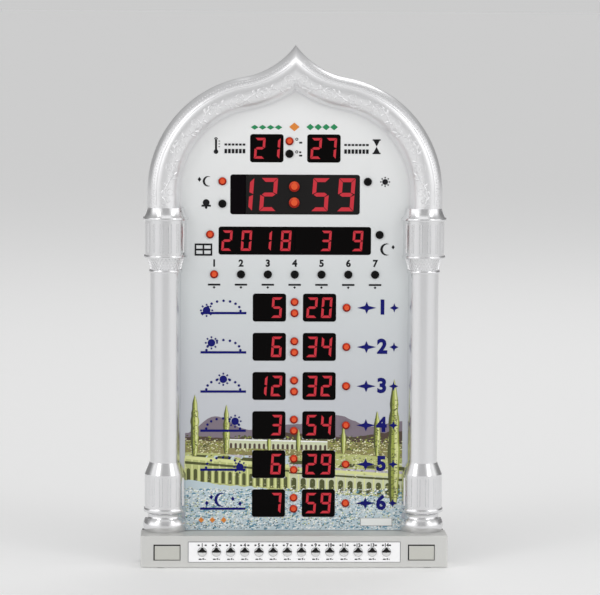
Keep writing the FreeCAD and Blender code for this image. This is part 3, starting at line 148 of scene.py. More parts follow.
world_out = tree.nodes.new("ShaderNodeOutputWorld")
tree.links.new(choice.outputs[0], world_out.inputs["Surface"])

# Soft boxes: four lamps high up and well back from the clock, one to each side, one above
# and one behind. Each entry is its place, what it looks at, its width, height and watts.
SOFT_BOXES = {
    "Left box": ((-2.6, -2.4, 2.6), (0, 0, 0.2), 1.0, 2.0, 15),
    "Right box": ((2.7, -2.5, 2.4), (0, 0, 0.2), 1.0, 2.0, 13),
    "Top box": ((0.0, -0.9, 1.7), (0, 0, 0.25), 1.4, 0.6, 1.5),
    "Rear box": ((0.7, 2.2, 3.2), (0, 0, 0.1), 2.0, 1.6, 22),
}
for name, (place, target, width, height, watts) in SOFT_BOXES.items():
    lamp_data = bpy.data.lights.new(name, "AREA")
    lamp_data.shape = "RECTANGLE"
    lamp_data.size = width
    lamp_data.size_y = height
    lamp_data.energy = watts
    lamp = bpy.data.objects.new(name, lamp_data)
    lamp.visible_camera = False
    bpy.context.collection.objects.link(lamp)
    look = (Vector(target) - Vector(place)).to_track_quat("-Z", "Y")
    lamp.matrix_world = Matrix.Translation(place) @ look.to_matrix().to_4x4()


# Floor: a plain pale matt table top that goes on to the horizon. The clock stands on it
# by its feet.
def finish(name, colour, rough, metal=0.0, glow=0.0, shine=0.5):
    """A Principled material with one colour."""
    made = bpy.data.materials.new(name)
    made.use_nodes = True
    shader = made.node_tree.nodes["Principled BSDF"]
    shader.inputs["Base Color"].default_value = (*colour, 1)
    shader.inputs["Roughness"].default_value = rough
    shader.inputs["Metallic"].default_value = metal
    shader.inputs["Specular IOR Level"].default_value = shine
    if glow:
        shader.inputs["Emission Color"].default_value = (*colour, 1)
        shader.inputs["Emission Strength"].default_value = glow
    return made


REACH = 300
floor_mesh = bpy.data.meshes.new("Floor")
floor_mesh.from_pydata([(-REACH, -REACH, 0), (REACH, -REACH, 0), (REACH, REACH, 0), (-REACH, REACH, 0)],
                       [], [(0, 1, 2, 3)])
floor_mesh.materials.append(finish("floor_pale", (0.84, 0.84, 0.84), 0.8, glow=0.20))
floor = bpy.data.objects.new("Floor", floor_mesh)
bpy.context.collection.objects.link(floor)


# Arch: one hollow ogee moulding in plated plastic, satin silver, held to the cover by screws
# in the bosses at its back. Its front carries a vine in low relief between two fine lines.
def dress(slot_name, skin):
    """Give every solid of one slot its finish."""
    for entry in frame["record"]["subparts"]:
        if entry["material_slot"] != slot_name:
            continue
        solid = nodes[entry["node"]]
        if not solid.data.materials:
            solid.data.materials.append(None)
        for place in solid.material_slots:
            place.material = skin


arch_silver = finish("arch_silver", (0.86, 0.86, 0.87), 0.34, 0.85)
dress("arch_silver", arch_silver)
bpy.context.view_layer.update()


def add_piece(name, mesh):
    """An object for a finished mesh, that stays with the housing."""
    made = bpy.data.objects.new(name, mesh)
    bpy.context.collection.objects.link(made)
    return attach(made, "housing")


def raised_lines(name, skin, lines, surface):
    """Ridges with a soft top. Each line is a list of (u, v, half width, lift) in millimetres,
    and surface turns (u, v) into a point and a normal of the solid."""
    profile = ((-1.0, -0.05), (-0.45, 0.8), (0.0, 1.0), (0.45, 0.8), (1.0, -0.05))
    verts, faces = [], []
    for line in lines:
        rows = []
        for k, (u, v, half, lift) in enumerate(line):
            before, after = line[max(0, k - 1)], line[min(len(line) - 1, k + 1)]
            du, dv = after[0] - before[0], after[1] - before[1]
            size = math.hypot(du, dv) or 1.0
            nu, nv = -dv / size, du / size
            found = [surface(u + nu * half * out, v + nv * half * out) for out, _ in profile]
            if None in found:
                rows.append(None)
                continue
            rows.append(len(verts))
            verts += [point + normal * (lift * rise / 1000) for (point, normal), (_, rise)
                      in zip(found, profile)]
        for a, b in zip(rows, rows[1:]):
            if a is None or b is None:
                continue
            for j in range(len(profile) - 1):
                faces.append((a + j, a + j + 1, b + j + 1, b + j))
    mesh = bpy.data.meshes.new(name)
    mesh.from_pydata([tuple(v) for v in verts], [], faces)
    mesh.validate()
    mesh.polygons.foreach_set("use_smooth", [True] * len(mesh.polygons))
    mesh.materials.append(skin)
    return add_piece(name, mesh)


ARCH_LENGTH = 184.6
LEG_TOP = 14.0
ROUND_END = 136.2
ROUND_R = 87.5
ROUND_CENTRE = (27.8, 330.67)
HOLLOW_R = 87.0
HOLLOW_CENTRE = (58.1, 502.5)
HOLLOW_START = math.radians(260.0)
LEG_X, LEG_FOOT = 115.3, 316.7
# The relief stops where the moulding curves back beyond this depth, in metres.
ARCH_RELIEF_END = 0.0062


def arch_line(u):
    """The crest of the right half from its foot to the tip: a point and the outward side."""
    if u < LEG_TOP:
        return (LEG_X, LEG_FOOT + u), (1.0, 0.0)
    if u < ROUND_END:
        a = (u - LEG_TOP) / ROUND_R
        x, z = ROUND_CENTRE
        return (x + ROUND_R * math.cos(a), z + ROUND_R * math.sin(a)), (math.cos(a), math.sin(a))
    a = HOLLOW_START - (u - ROUND_END) / HOLLOW_R
    x, z = HOLLOW_CENTRE
    return (x + HOLLOW_R * math.cos(a), z + HOLLOW_R * math.sin(a)), (-math.cos(a), -math.sin(a))


def arch_surface(hand):
    """A map from the developed arch to the front of its right half (1) or left half (-1)."""
    def find(u, v):
        (x, z), (nx, nz) = arch_line(u)
        x, z = x + nx * v, z + nz * v
        if x < 0.25:
            return None
        start = (hand * x / 1000, -0.05, z / 1000)
        hit, point, normal, _ = nodes["arch_moulding"].ray_cast(start, (0, 1, 0), distance=0.07)
        return (point, normal) if hit and point.y < ARCH_RELIEF_END else None
    return find


def leaf(u, v, angle, length, bend, half, lift):
    """A short curved line, widest in its middle."""
    steps = 7
    made = []
    a = math.radians(angle)
    for k in range(steps + 1):
        swell = min(0.97, max(0.05, k / steps))
        made.append((u, v, half * math.sin(math.pi * swell) + 0.05, lift))
        u += length / steps * math.cos(a)
        v += length / steps * math.sin(a)
        a += math.radians(bend) / steps
    return made


STEM_MIDDLE, STEM_SWING, STEM_WAVE = -3.2, 3.6, 46
# Leaves at each scroll: the place along the stem, the angle, the length and the bend.
LEAVES = ((-8, 95, 5.6, -70), (-4, 60, 5.0, -60), (5, 120, 5.2, 60), (9, 75, 4.6, -50))


def stem_height(u):
    """How far outward the winding stem lies."""
    return STEM_MIDDLE + STEM_SWING * math.sin(2 * math.pi * u / STEM_WAVE)


stem = []
for k in range(121):
    u = 1.5 + (ARCH_LENGTH - 3.0) * k / 120
    stem.append((u, stem_height(u), 0.55, 0.42))
vine = [
    stem,
    [(ARCH_LENGTH * k / 60, -12.6, 0.45, 0.30) for k in range(61)],
    [(ARCH_LENGTH * k / 60, 7.0, 0.40, 0.28) for k in range(61)],
]
for k in range(8):
    u = 11.5 + STEM_WAVE / 2 * k
    way = 1 if k % 2 == 0 else -1
    scroll = []
    for step in range(19):
        t = step / 18
        a = math.radians(200 - way * 20 - way * 560 * t)
        r = 4.6 * (1 - t) + 0.7
        scroll.append((u + 2.0 + r * math.cos(a), STEM_MIDDLE - way * 1.6 + r * math.sin(a),
                       0.5 * (1.15 - 0.5 * t), 0.45))
    vine.append(scroll)
    for du, angle, length, bend in LEAVES:
        base = stem_height(u + du)
        vine.append(leaf(u + du, base, way * angle, length, way * bend, 0.95, 0.5))
        vine.append(leaf(u + du + 2, base, -way * angle, length * 0.8, -way * bend, 0.8, 0.45))
for name, hand in (("right_arch_carving", 1), ("left_arch_carving", -1)):
    raised_lines(name, arch_silver, vine, arch_surface(hand))

# Arch beading: two rows of fine beads in the same moulding and finish, along the outer side
# of the vine, staggered by half a bead.
BEAD_PITCH = 2.4
BEAD_R = 0.00062
bead_points = []
for hand in (1, -1):
    find = arch_surface(hand)
    for v, start in ((9.2, 0.8), (11.2, 2.0)):
        u = start
        while u <= ARCH_LENGTH:
            found = find(u, v)
            if found:
                bead_points.append(found[0])
            u += BEAD_PITCH


def bead_nodes(name):
    """Geometry nodes that put a small ball on every point and give all of them one material."""
    group = bpy.data.node_groups.new(name, "GeometryNodeTree")
    group.interface.new_socket("Geometry", in_out="INPUT", socket_type="NodeSocketGeometry")
    radius = group.interface.new_socket("Bead radius", in_out="INPUT", socket_type="NodeSocketFloat")
    skin = group.interface.new_socket("Material", in_out="INPUT", socket_type="NodeSocketMaterial")
    group.interface.new_socket("Geometry", in_out="OUTPUT", socket_type="NodeSocketGeometry")
    start = group.nodes.new("NodeGroupInput")
    end = group.nodes.new("NodeGroupOutput")
    ball = group.nodes.new("GeometryNodeMeshIcoSphere")
    ball.inputs["Subdivisions"].default_value = 2
    spread_out = group.nodes.new("GeometryNodeInstanceOnPoints")
    real = group.nodes.new("GeometryNodeRealizeInstances")
    smooth = group.nodes.new("GeometryNodeSetShadeSmooth")
    coat = group.nodes.new("GeometryNodeSetMaterial")
    group.links.new(start.outputs["Bead radius"], ball.inputs["Radius"])
    group.links.new(start.outputs["Geometry"], spread_out.inputs["Points"])
    group.links.new(ball.outputs["Mesh"], spread_out.inputs["Instance"])
    group.links.new(spread_out.outputs["Instances"], real.inputs["Geometry"])
    group.links.new(real.outputs["Geometry"], smooth.inputs["Geometry"])
    group.links.new(smooth.outputs["Geometry"], coat.inputs["Geometry"])
    group.links.new(start.outputs["Material"], coat.inputs["Material"])
    group.links.new(coat.outputs["Geometry"], end.inputs["Geometry"])
    return group, radius.identifier, skin.identifier


bead_mesh = bpy.data.meshes.new("arch_beads")
bead_mesh.from_pydata([tuple(point) for point in bead_points], [], [])
beads = bpy.data.objects.new("arch_beads", bead_mesh)
bpy.context.collection.objects.link(beads)
group, radius_key, skin_key = bead_nodes("arch_beads")
change = beads.modifiers.new("Beads", "NODES")
change.node_group = group
change[radius_key] = BEAD_R
change[skin_key] = arch_silver
bpy.context.view_layer.update()
solid = bpy.data.meshes.new_from_object(beads.evaluated_get(bpy.context.evaluated_depsgraph_get()))
beads.modifiers.remove(change)
beads.data = solid
if not solid.materials:
    solid.materials.append(arch_silver)
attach(beads, "housing")


# Columns: two hollow half-round mouldings in bright plated plastic, screwed to the cover from
# behind. Under each fluted drum is a bell with a lattice in low relief.
column_silver = finish("column_silver", (0.80, 0.80, 0.81), 0.23, 1.0)
dress("column_silver", column_silver)
COLUMN_AXIS_Y = 0.0068
BELL_RELIEF_END = 0.0064
BELL_FOOT = 262.1
DEGREES_PER_STEP = 3.4


def bell_surface(node, axis_x):
    """A map from (turn, height) to the column's surface, for heights on the bell."""
    def find(u, v):
        a = math.radians(u * DEGREES_PER_STEP)
        out = Vector((math.sin(a), -math.cos(a), 0))
        start = Vector((axis_x / 1000, COLUMN_AXIS_Y, v / 1000)) + out * 0.04
        hit, point, normal, _ = nodes[node].ray_cast(start, -out, distance=0.05)
        return (point, normal) if hit and point.y < BELL_RELIEF_END else None
    return find


lattice = []
for k in range(-9, 10):
    for way in (1, -1):
        lattice.append([(k * 3.2 + way * (t - 4) * 0.8, BELL_FOOT + t * 1.22, 0.38, 0.40)
                        for t in range(9)])
for node, axis_x in (("left_column", -114.0), ("right_column", 114.0)):
    raised_lines(node + "_lattice", column_silver, lattice, bell_surface(node, axis_x))

# Plinth: a hollow box moulding, painted silver and open to the back, that carries columns,
# keys and strip.
dress("plinth_silver", finish("plinth_silver", (0.72, 0.72, 0.70), 0.46, 0.45))

# Face: one flat printed sheet of acrylic behind the frame, with windows for the displays and
# holes for the lamps. Its print goes from near white at the top to a cool grey at the foot.
FACE_TINT = ((0.0, (0.50, 0.53, 0.58)), (0.28, (0.585, 0.605, 0.64)), (0.50, (0.68, 0.71, 0.72)),
             (0.78, (0.84, 0.85, 0.85)), (1.0, (0.93, 0.93, 0.93)))
face_skin = finish("face_print", (0.80, 0.81, 0.83), 0.32)
dress("face_print", face_skin)
tree = face_skin.node_tree
spot = tree.nodes.new("ShaderNodeTexCoord")
height = tree.nodes.new("ShaderNodeSeparateXYZ")
tree.links.new(spot.outputs["Object"], height.inputs[0])
fade = tree.nodes.new("ShaderNodeMapRange")
fade.inputs["From Min"].default_value = 0.03
fade.inputs["From Max"].default_value = 0.44
tree.links.new(height.outputs[2], fade.inputs["Value"])
tint = add_ramp(tree, fade.outputs["Result"], FACE_TINT)
tree.links.new(tint, tree.nodes["Principled BSDF"].inputs["Base Color"])

# Picture: a garden valley in flat layers of ink, printed on the face along its foot and cut
# round the windows of the rows.
LAYER_STEP = 0.006


def print_piece(name, layers, y, spread=0.0008, cut_x=(), cut_z=()):
    """Flat layers (skin, polygons), each just in front of the one before, open where the cuts
    make windows. A polygon is a list of (x, z) in millimetres."""
    mesh = bpy.data.meshes.new(name)
    work = bmesh.new()
    for depth, (skin, shapes) in enumerate(layers):
        mesh.materials.append(skin)
        for order, shape in enumerate(shapes):
            level = (y - LAYER_STEP * depth - spread * (order % 7)) / 1000
            corners = [work.verts.new((x / 1000, level, z / 1000)) for x, z in shape]
            face = work.faces.new(corners)
            face.material_index = depth
            face.normal_update()
            if face.normal.y > 0:
                face.normal_flip()
    bmesh.ops.triangulate(work, faces=list(work.faces))
    for axis, values in (((1, 0, 0), cut_x), ((0, 0, 1), cut_z)):
        for value in values:
            everything = list(work.verts) + list(work.edges) + list(work.faces)
            place = Vector(axis) * (value / 1000)
            bmesh.ops.bisect_plane(work, geom=everything, plane_co=place, plane_no=axis)
    inside = []
    for face in work.faces:
        centre = face.calc_center_median() * 1000
        across = any(a < centre.x < b for a, b in zip(cut_x[::2], cut_x[1::2]))
        upwards = any(a < centre.z < b for a, b in zip(cut_z[::2], cut_z[1::2]))
        if across and upwards:
            inside.append(face)
    bmesh.ops.delete(work, geom=inside, context="FACES")
    work.to_mesh(mesh)
    work.free()
    return add_piece(name, mesh)


EDGE = 96.5
rng = random.Random(11)


def ridge_line(points, foot, wobble):
    """A ground or hill shape with a rough upper edge through the points, down to foot."""
    top = []
    for (x0, z0), (x1, z1) in zip(points, points[1:]):
        steps = max(2, int((x1 - x0) / 3))
        for k in range(steps):
            t = k / steps
            ease = t * t * (3 - 2 * t)
            top.append((x0 + (x1 - x0) * t, z0 + (z1 - z0) * ease + rng.uniform(-wobble, wobble)))
    top.append(points[-1])
    strips = []
    for (x0, z0), (x1, z1) in zip(top, top[1:]):
        strips.append([(x0, foot), (x1, foot), (x1, z1), (x0, z0)])
    return strips


def specks(count, x0, x1, z0, z1, small, large, squash=0.6):
    """Small slanted four-sided flecks at random."""
    made = []
    for _ in range(count):
        x, z = rng.uniform(x0, x1), rng.uniform(z0, z1)
        a = rng.uniform(small, large)
        b = a * squash
        made.append([(x - a, z), (x, z - b), (x + a, z + b * 0.3), (x, z + b)])
    return made


def tall_tree(x, foot, top, half):
    """A slender poplar, as shade, body and light side."""
    outline = []
    steps = 22
    for k in range(steps + 1):
        t = k / steps
        width = half * math.sin(math.pi * min(1.0, t * 1.02 + 0.08)) ** 0.55 * (1 - 0.25 * t)
        outline.append((width * rng.uniform(0.82, 1.1), foot + (top - foot) * t))
    tones = []
    for left, right in ((-1.0, 1.0), (-0.45, 1.0), (0.15, 0.75)):
        tones.append([[(x + left * w0, z0), (x + right * w0, z0), (x + right * w1, z1), (x + left * w1, z1)]
                      for (w0, z0), (w1, z1) in zip(outline, outline[1:])])
    return tones


def arcade(x0, z0, x1, z1, tall, count, opening):
    """A garden wall in perspective with a row of round-headed openings."""
    wall = [[(x0, z0), (x1, z1), (x1, z1 + tall), (x0, z0 + tall)]]
    cope = [[(x0, z0 + tall), (x1, z1 + tall), (x1, z1 + tall * 1.16), (x0, z0 + tall * 1.16)]]
    holes = []
    for k in range(count):
        t0, t1 = (k + 0.5 - opening / 2) / count, (k + 0.5 + opening / 2) / count
        xa, xb = x0 + (x1 - x0) * t0, x0 + (x1 - x0) * t1
        base = z0 + (z1 - z0) * (t0 + t1) / 2
        half, middle = abs(xb - xa) / 2, (xa + xb) / 2
        head = base + tall * 0.5
        shape = [(middle - half, base), (middle + half, base)]
        for step in range(7):
            angle = math.pi * step / 6
            shape.append((middle + half * math.cos(angle), head + half * math.sin(angle)))
        holes.append(shape)
    return wall, cope, holes


def post(x, base, tall):
    """A slender upright in front of a wall."""
    return [(x - 0.5, base), (x + 0.7, base), (x + 0.7, base + tall), (x - 0.5, base + tall)]


ink = {
    "hill_far": finish("print_hill_far", (0.21, 0.17, 0.21), 0.5),
    "hill_near": finish("print_hill_near", (0.075, 0.045, 0.03), 0.5),
    "field": finish("print_field", (0.26, 0.23, 0.08), 0.5),
    "lawn": finish("print_lawn", (0.50, 0.53, 0.20), 0.5),
    "cream": finish("print_cream", (0.80, 0.80, 0.52), 0.5),
    "path": finish("print_path", (0.50, 0.46, 0.55), 0.5),
    "olive": finish("print_olive", (0.075, 0.085, 0.018), 0.5),
    "leaf": finish("print_leaf", (0.33, 0.38, 0.06), 0.5),
    "leaf_light": finish("print_leaf_light", (0.72, 0.75, 0.33), 0.5),
    "wall": finish("print_wall", (0.62, 0.65, 0.44), 0.5),
    "wall_green": finish("print_wall_green", (0.50, 0.54, 0.20), 0.5),
    "pale": finish("print_pale", (0.56, 0.67, 0.72), 0.5),
    "water": finish("print_water", (0.13, 0.31, 0.42), 0.5),
    "teal": finish("print_teal", (0.035, 0.075, 0.07), 0.5),
    "white": finish("print_white", (0.90, 0.92, 0.90), 0.5),
    "ochre": finish("print_ochre", (0.60, 0.42, 0.10), 0.5),
}
# Each poplar: its middle, foot, top and half width.
POPLARS = ((89, 52, 176, 6.0), (74, 96, 140, 3.4), (-60, 98, 146, 3.4), (-88, 96, 156, 4.2),
           (4, 100, 122, 2.4), (-22, 100, 118, 2.2), (44, 98, 126, 2.6))
tree_shade, tree_body, tree_light = [], [], []
for poplar in POPLARS:
    shade, body, light = tall_tree(*poplar)
    tree_shade += shade
    tree_body += body
    tree_light += light
WALLS_MEET = -4
wall_a, cope_a, holes_a = arcade(-EDGE, 74, WALLS_MEET, 66, 19, 15, 0.5)
wall_b, cope_b, holes_b = arcade(EDGE, 60, WALLS_MEET, 66, 17, 12, 0.55)
wall_c, cope_c, holes_c = arcade(-62, 103, 30, 101, 7, 22, 0.5)
posts = [post(-EDGE + (EDGE + WALLS_MEET) * k / 15, 74 - 8 * k / 15, 20) for k in range(16)]
posts += [post(EDGE - (EDGE - WALLS_MEET) * k / 12, 60 + 6 * k / 12, 18) for k in range(13)]
eaves = [[(-EDGE, 91.2), (WALLS_MEET, 83.2), (WALLS_MEET, 81.6), (-EDGE, 88.8)],
         [(EDGE, 75.4), (WALLS_MEET, 81.4), (WALLS_MEET, 80.2), (EDGE, 73.2)]]
hedges = []
for k in range(9):
    x = -92 + 22 * k
    drop = 0.06 * x
    hedges.append([(x, 88.5 - drop), (x + 13, 88.0 - drop), (x + 15, 91.0 - drop), (x + 3, 91.6 - drop)])
bed = []
for k in range(7):
    bed.append([(-90 + 13 * k, 86 - k), (-83 + 13 * k, 86 - k), (-76 + 12 * k, 96), (-82 + 12 * k, 96)])

# The layers of the picture, from the back one, which is just in front of the face, onwards.
PICTURE_Y = 6.77
WINDOW_SIDES = (-37.0, -7.4, 7.4, 37.0)
row_heights = [500 * sum(corner.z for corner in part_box(f"row{k}_hour_display")) for k in range(1, 7)]
window_ends = [z + way for z in reversed(row_heights[2:]) for way in (-12.5, 12.5)]
print_piece("valley_print", [
    (ink["hill_far"], ridge_line([(-EDGE, 116), (-70, 131), (-40, 119), (0, 124), (36, 133), (70, 122),
                                  (EDGE, 127)], 108, 0.5)),
    (ink["hill_near"], ridge_line([(-EDGE, 113), (-50, 112), (-10, 117), (50, 113), (EDGE, 118)],
                                  100, 0.6)),
    (ink["field"], ridge_line([(-EDGE, 109), (0, 110), (EDGE, 107)], 60, 0.5)),
    (ink["olive"], specks(420, -EDGE, EDGE, 101, 114, 0.5, 1.5)),
    (ink["leaf"], specks(420, -EDGE, EDGE, 98, 113, 0.4, 1.2)),
    (ink["cream"], specks(520, -EDGE, EDGE, 97, 111, 0.4, 1.1)),
    (ink["wall"], wall_c),
    (ink["white"], cope_c),
    (ink["hill_near"], holes_c),
    (ink["lawn"], ridge_line([(-EDGE, 99), (-20, 95), (40, 98), (EDGE, 94)], 50, 0.4)),
    (ink["path"], [[(-EDGE, 92), (EDGE, 82), (EDGE, 78), (-EDGE, 86)],
                   [(-60, 97), (-30, 96), (26, 84), (-14, 86)]]),
    (ink["pale"], bed),
    (ink["cream"], specks(340, -EDGE, EDGE, 79, 97, 0.3, 1.1)),
    (ink["leaf"], specks(300, -EDGE, EDGE, 78, 97, 0.3, 1.1)),
    (ink["olive"], hedges + specks(260, -EDGE, EDGE, 78, 97, 0.4, 1.5, 0.45)),
    (ink["white"], specks(150, -EDGE, EDGE, 80, 97, 0.3, 1.6, 0.25)),
    (ink["wall"], wall_b),
    (ink["wall_green"], wall_a),
    (ink["leaf_light"], cope_a + cope_b + posts),
    (ink["olive"], eaves + holes_a + holes_b),
    (ink["cream"], specks(200, -EDGE, EDGE, 62, 92, 0.3, 1.2, 0.3)),
    (ink["pale"], ridge_line([(-EDGE, 74), (-50, 69), (0, 64), (50, 61), (EDGE, 58)], 29.4, 0.8)),
    (ink["water"], specks(520, -EDGE, EDGE, 30, 66, 0.6, 2.2, 0.5)),
    (ink["white"], specks(1300, -EDGE, EDGE, 30, 67, 0.5, 1.4)),
    (ink["teal"], specks(1300, -EDGE, EDGE, 30, 67, 0.3, 0.9)),
    (ink["leaf_light"], specks(600, -EDGE, EDGE, 34, 70, 0.3, 0.9)),
    (ink["ochre"], specks(90, -EDGE, EDGE, 31, 60, 0.3, 0.7)),
    (ink["olive"], tree_shade),
    (ink["leaf"], tree_body),
    (ink["leaf_light"], tree_light),
    (ink["olive"], specks(220, 86, 92, 58, 146, 0.4, 1.2, 0.4) + specks(80, -90, -86, 98, 138, 0.3, 0.9)
     + specks(50, 72.4, 75.6, 98, 126, 0.3, 0.8) + specks(50, -61.6, -58.4, 98, 131, 0.3, 0.8)),
], PICTURE_Y, cut_x=WINDOW_SIDES, cut_z=window_ends)


# Signs: pictograms and short bars in dark and coloured inks, printed on the face beside the
# windows and lamps: a sun path for each row, moons, a bell, a sun, a calendar, a thermometer.
def disc(x, z, r, sides=20):
    """A filled circle."""
    return [(x + r * math.cos(2 * math.pi * k / sides), z + r * math.sin(2 * math.pi * k / sides))
            for k in range(sides)]


def bar(x0, z0, x1, z1):
    """A filled upright rectangle."""
    return [(x0, z0), (x1, z0), (x1, z1), (x0, z1)]


def ring(x, z, r, thick, start=0, end=360):
    """A circular stroke, in short four-sided pieces."""
    made = []
    steps = max(4, int(abs(end - start) / 18))
    for k in range(steps):
        a = math.radians(start + (end - start) * k / steps)
        b = math.radians(start + (end - start) * (k + 1) / steps)
        made.append([(x + (r - thick) * math.cos(a), z + (r - thick) * math.sin(a)),
                     (x + r * math.cos(a), z + r * math.sin(a)),
                     (x + r * math.cos(b), z + r * math.sin(b)),
                     (x + (r - thick) * math.cos(b), z + (r - thick) * math.sin(b))])
    return made


def crescent(x, z, r):
    """A moon, open to the right."""
    made = []
    for k in range(10):
        a = math.radians(60 + 24 * k)
        b = math.radians(84 + 24 * k)
        thin = (0.42 * math.sin(math.pi * k / 10), 0.42 * math.sin(math.pi * (k + 1) / 10))
        made.append([(x + r * (1 - thin[0]) * math.cos(a), z + r * (1 - thin[0]) * math.sin(a)),
                     (x + r * math.cos(a), z + r * math.sin(a)),
                     (x + r * math.cos(b), z + r * math.sin(b)),
                     (x + r * (1 - thin[1]) * math.cos(b), z + r * (1 - thin[1]) * math.sin(b))])
    return made


def sun(x, z, r, rays=8):
    """A disc with short rays."""
    made = [disc(x, z, r * 0.58)]
    for k in range(rays):
        a = 2 * math.pi * k / rays
        cx, cz, sx, sz = math.cos(a), math.sin(a), -math.sin(a) * 0.12 * r, math.cos(a) * 0.12 * r
        made.append([(x + 0.72 * r * cx - sx, z + 0.72 * r * cz - sz), (x + r * cx - sx, z + r * cz - sz),
                     (x + r * cx + sx, z + r * cz + sz), (x + 0.72 * r * cx + sx, z + 0.72 * r * cz + sz)])
    return made


def diamond(x, z, half_w, half_h):
    """A lozenge."""
    return [(x - half_w, z), (x, z - half_h), (x + half_w, z), (x, z + half_h)]


# The signs lie just in front of the last layer of the picture.
SIGNS_Y = 6.585
DAY_PITCH = 23.75
SUN_X = -62.8
ink["navy"] = finish("print_navy", (0.006, 0.007, 0.15), 0.6, shine=0.15)
ink["black"] = finish("print_black", (0.010, 0.010, 0.012), 0.45, shine=0.15)
ink["grey"] = finish("print_grey", (0.35, 0.35, 0.36), 0.45)
ink["orange"] = finish("print_orange", (0.78, 0.25, 0.03), 0.45)
ink["green"] = finish("print_green", (0.008, 0.26, 0.09), 0.45)
navy = []
for number, z in enumerate(row_heights):
    turn = math.pi * (1 - number / 4)
    by_day = number < 5
    navy.append(bar(-83.0, z - 6.0, -42.6, z - 3.9))
    for k in range(9):
        a = math.pi * k / 8
        if by_day and abs(a - turn) > 0.34:
            navy.append(disc(SUN_X + 15.0 * math.cos(a), z - 3.0 + 9.0 * math.sin(a), 1.15, 10))
    if by_day:
        navy += sun(SUN_X + 15.0 * math.cos(turn), z - 2.6 + 8.6 * math.sin(turn), 5.8)
    else:
        navy += crescent(-64.0, z + 3.0, 6.4)
        for x, rise in ((-77, 0), (-54, 4), (-47.5, -0.4), (-73, 5.4)):
            navy.append(diamond(x, z + rise, 1.7, 2.3))
    navy += [diamond(64, z, 8.5, 2.2), diamond(64, z, 2.3, 5.4)]
    navy += [diamond(88.5, z, 4.0, 2.0), diamond(88.5, z, 1.5, 4.2)]
# Thermometer and the bars beside it.
black = [disc(-70.0, 366.0, 2.0), bar(-70.9, 366.0, -69.1, 377.0)]
black += ring(-70.0, 377.0, 1.6, 0.9, 0, 180)
black += [bar(-67.8, 366.0 + k, -66.4, 366.6 + k) for k in (4, 6.5, 9)]
for left, count in ((-62.5, 6), (43.2, 7)):
    for k in range(count):
        x = left + 3.2 * k
        black += [bar(x, 371.4, x + 2.3, 373.2), bar(x, 364.6, x + 2.3, 368.4)]
# Hourglass beside the countdown, then the marks of the two unit lamps.
black += [bar(68.2, 376.2, 75.2, 377.4), bar(68.2, 364.4, 75.2, 365.6),
          [(69, 376.2), (74.4, 376.2), (71.7, 371.0)], [(69, 365.6), (74.4, 365.6), (71.7, 370.8)]]
black += ring(1.2, 377.2, 1.3, 0.6) + [bar(3.4, 373.4, 6.0, 374.9)]
black += ring(1.2, 366.0, 1.3, 0.6) + [bar(3.4, 362.0, 6.0, 363.5), bar(3.4, 365.0, 5.2, 366.4)]
# Moon, bell, sun, calendar and second moon beside their lamps, and a dash under each weekday.
black += crescent(-77.0, 339.8, 4.6) + [diamond(-84.5, 341.5, 1.6, 2.2)]
black += [disc(-78.5, 321.0, 3.0), bar(-82.6, 317.4, -74.4, 319.0), disc(-78.5, 316.6, 1.1)]
black += sun(79.5, 339.8, 4.4)
black += [bar(-88.5, z, -73.0, z + 1.6) for z in (283.2, 278.6, 274.0)]
black += [bar(x, 274.0, x + 1.4, 284.8) for x in (-88.5, -81.5, -74.4)]
black += crescent(81.0, 280.0, 5.4) + [diamond(87.0, 282.0, 1.4, 2.0)]
for k in range(7):
    x = (k - 3) * DAY_PITCH
    black += [bar(x - 5.5, 247.6, x + 5.5, 249.2), diamond(x, 246.0, 1.2, 1.2)]
green = [diamond(x, 387.6, 3.4, 2.1) for x in (-36, -29, -22, -15)]
green += [diamond(x, 388.0, 3.4, 2.8) for x in (13, 20, 27, 34)]
orange = [diamond(-1.0, 388.0, 4.6, 3.8)] + [diamond(x, 38.4, 2.6, 2.6) for x in (-82, -72, -62)]
print_piece("face_signs", [
    (ink["navy"], navy),
    (ink["black"], black),
    (ink["green"], green),
    (ink["orange"], orange),
    (ink["grey"], [bar(59.6, 33.0, 88.2, 40.4)]),
    (ink["white"], [bar(60.2, 33.5, 87.6, 39.9)]),
], SIGNS_Y)


# Numbers on the face: plain figures in the same inks, 1 to 7 over the weekday lamps and 1 to 6
# beside the rows.
def numbers(name, skin, entries, size, y):
    """Plain upright numbers, flat, from (text, x, z) in millimetres."""
    together = bmesh.new()
    for text, x, z in entries:
        letters = bpy.data.curves.new(name, "FONT")
        letters.body = text
        letters.size = size / 1000
        letters.align_x = "CENTER"
        letters.align_y = "CENTER"
        letters.resolution_u = 3
        letters.offset = size / 1000 * 0.045
        holder = bpy.data.objects.new(name, letters)
        bpy.context.collection.objects.link(holder)
        graph = bpy.context.evaluated_depsgraph_get()
        flat = bpy.data.meshes.new_from_object(holder.evaluated_get(graph))
        place = Matrix.Translation((x / 1000, y / 1000, z / 1000))
        flat.transform(place @ Matrix.Rotation(math.pi / 2, 4, "X"))
        together.from_mesh(flat)
        bpy.data.objects.remove(holder)
        bpy.data.meshes.remove(flat)
    mesh = bpy.data.meshes.new(name)
    together.to_mesh(mesh)
    together.free()
    mesh.materials.append(skin)
    return add_piece(name, mesh)


numbers("weekday_numbers", ink["black"],
        [(str(k + 1), (k - 3) * DAY_PITCH, 267.2) for k in range(7)], 8.4, PICTURE_Y)
numbers("row_numbers", ink["navy"],
        [(str(k + 1), 78.0, row_heights[k]) for k in range(6)], 17.5, SIGNS_Y)

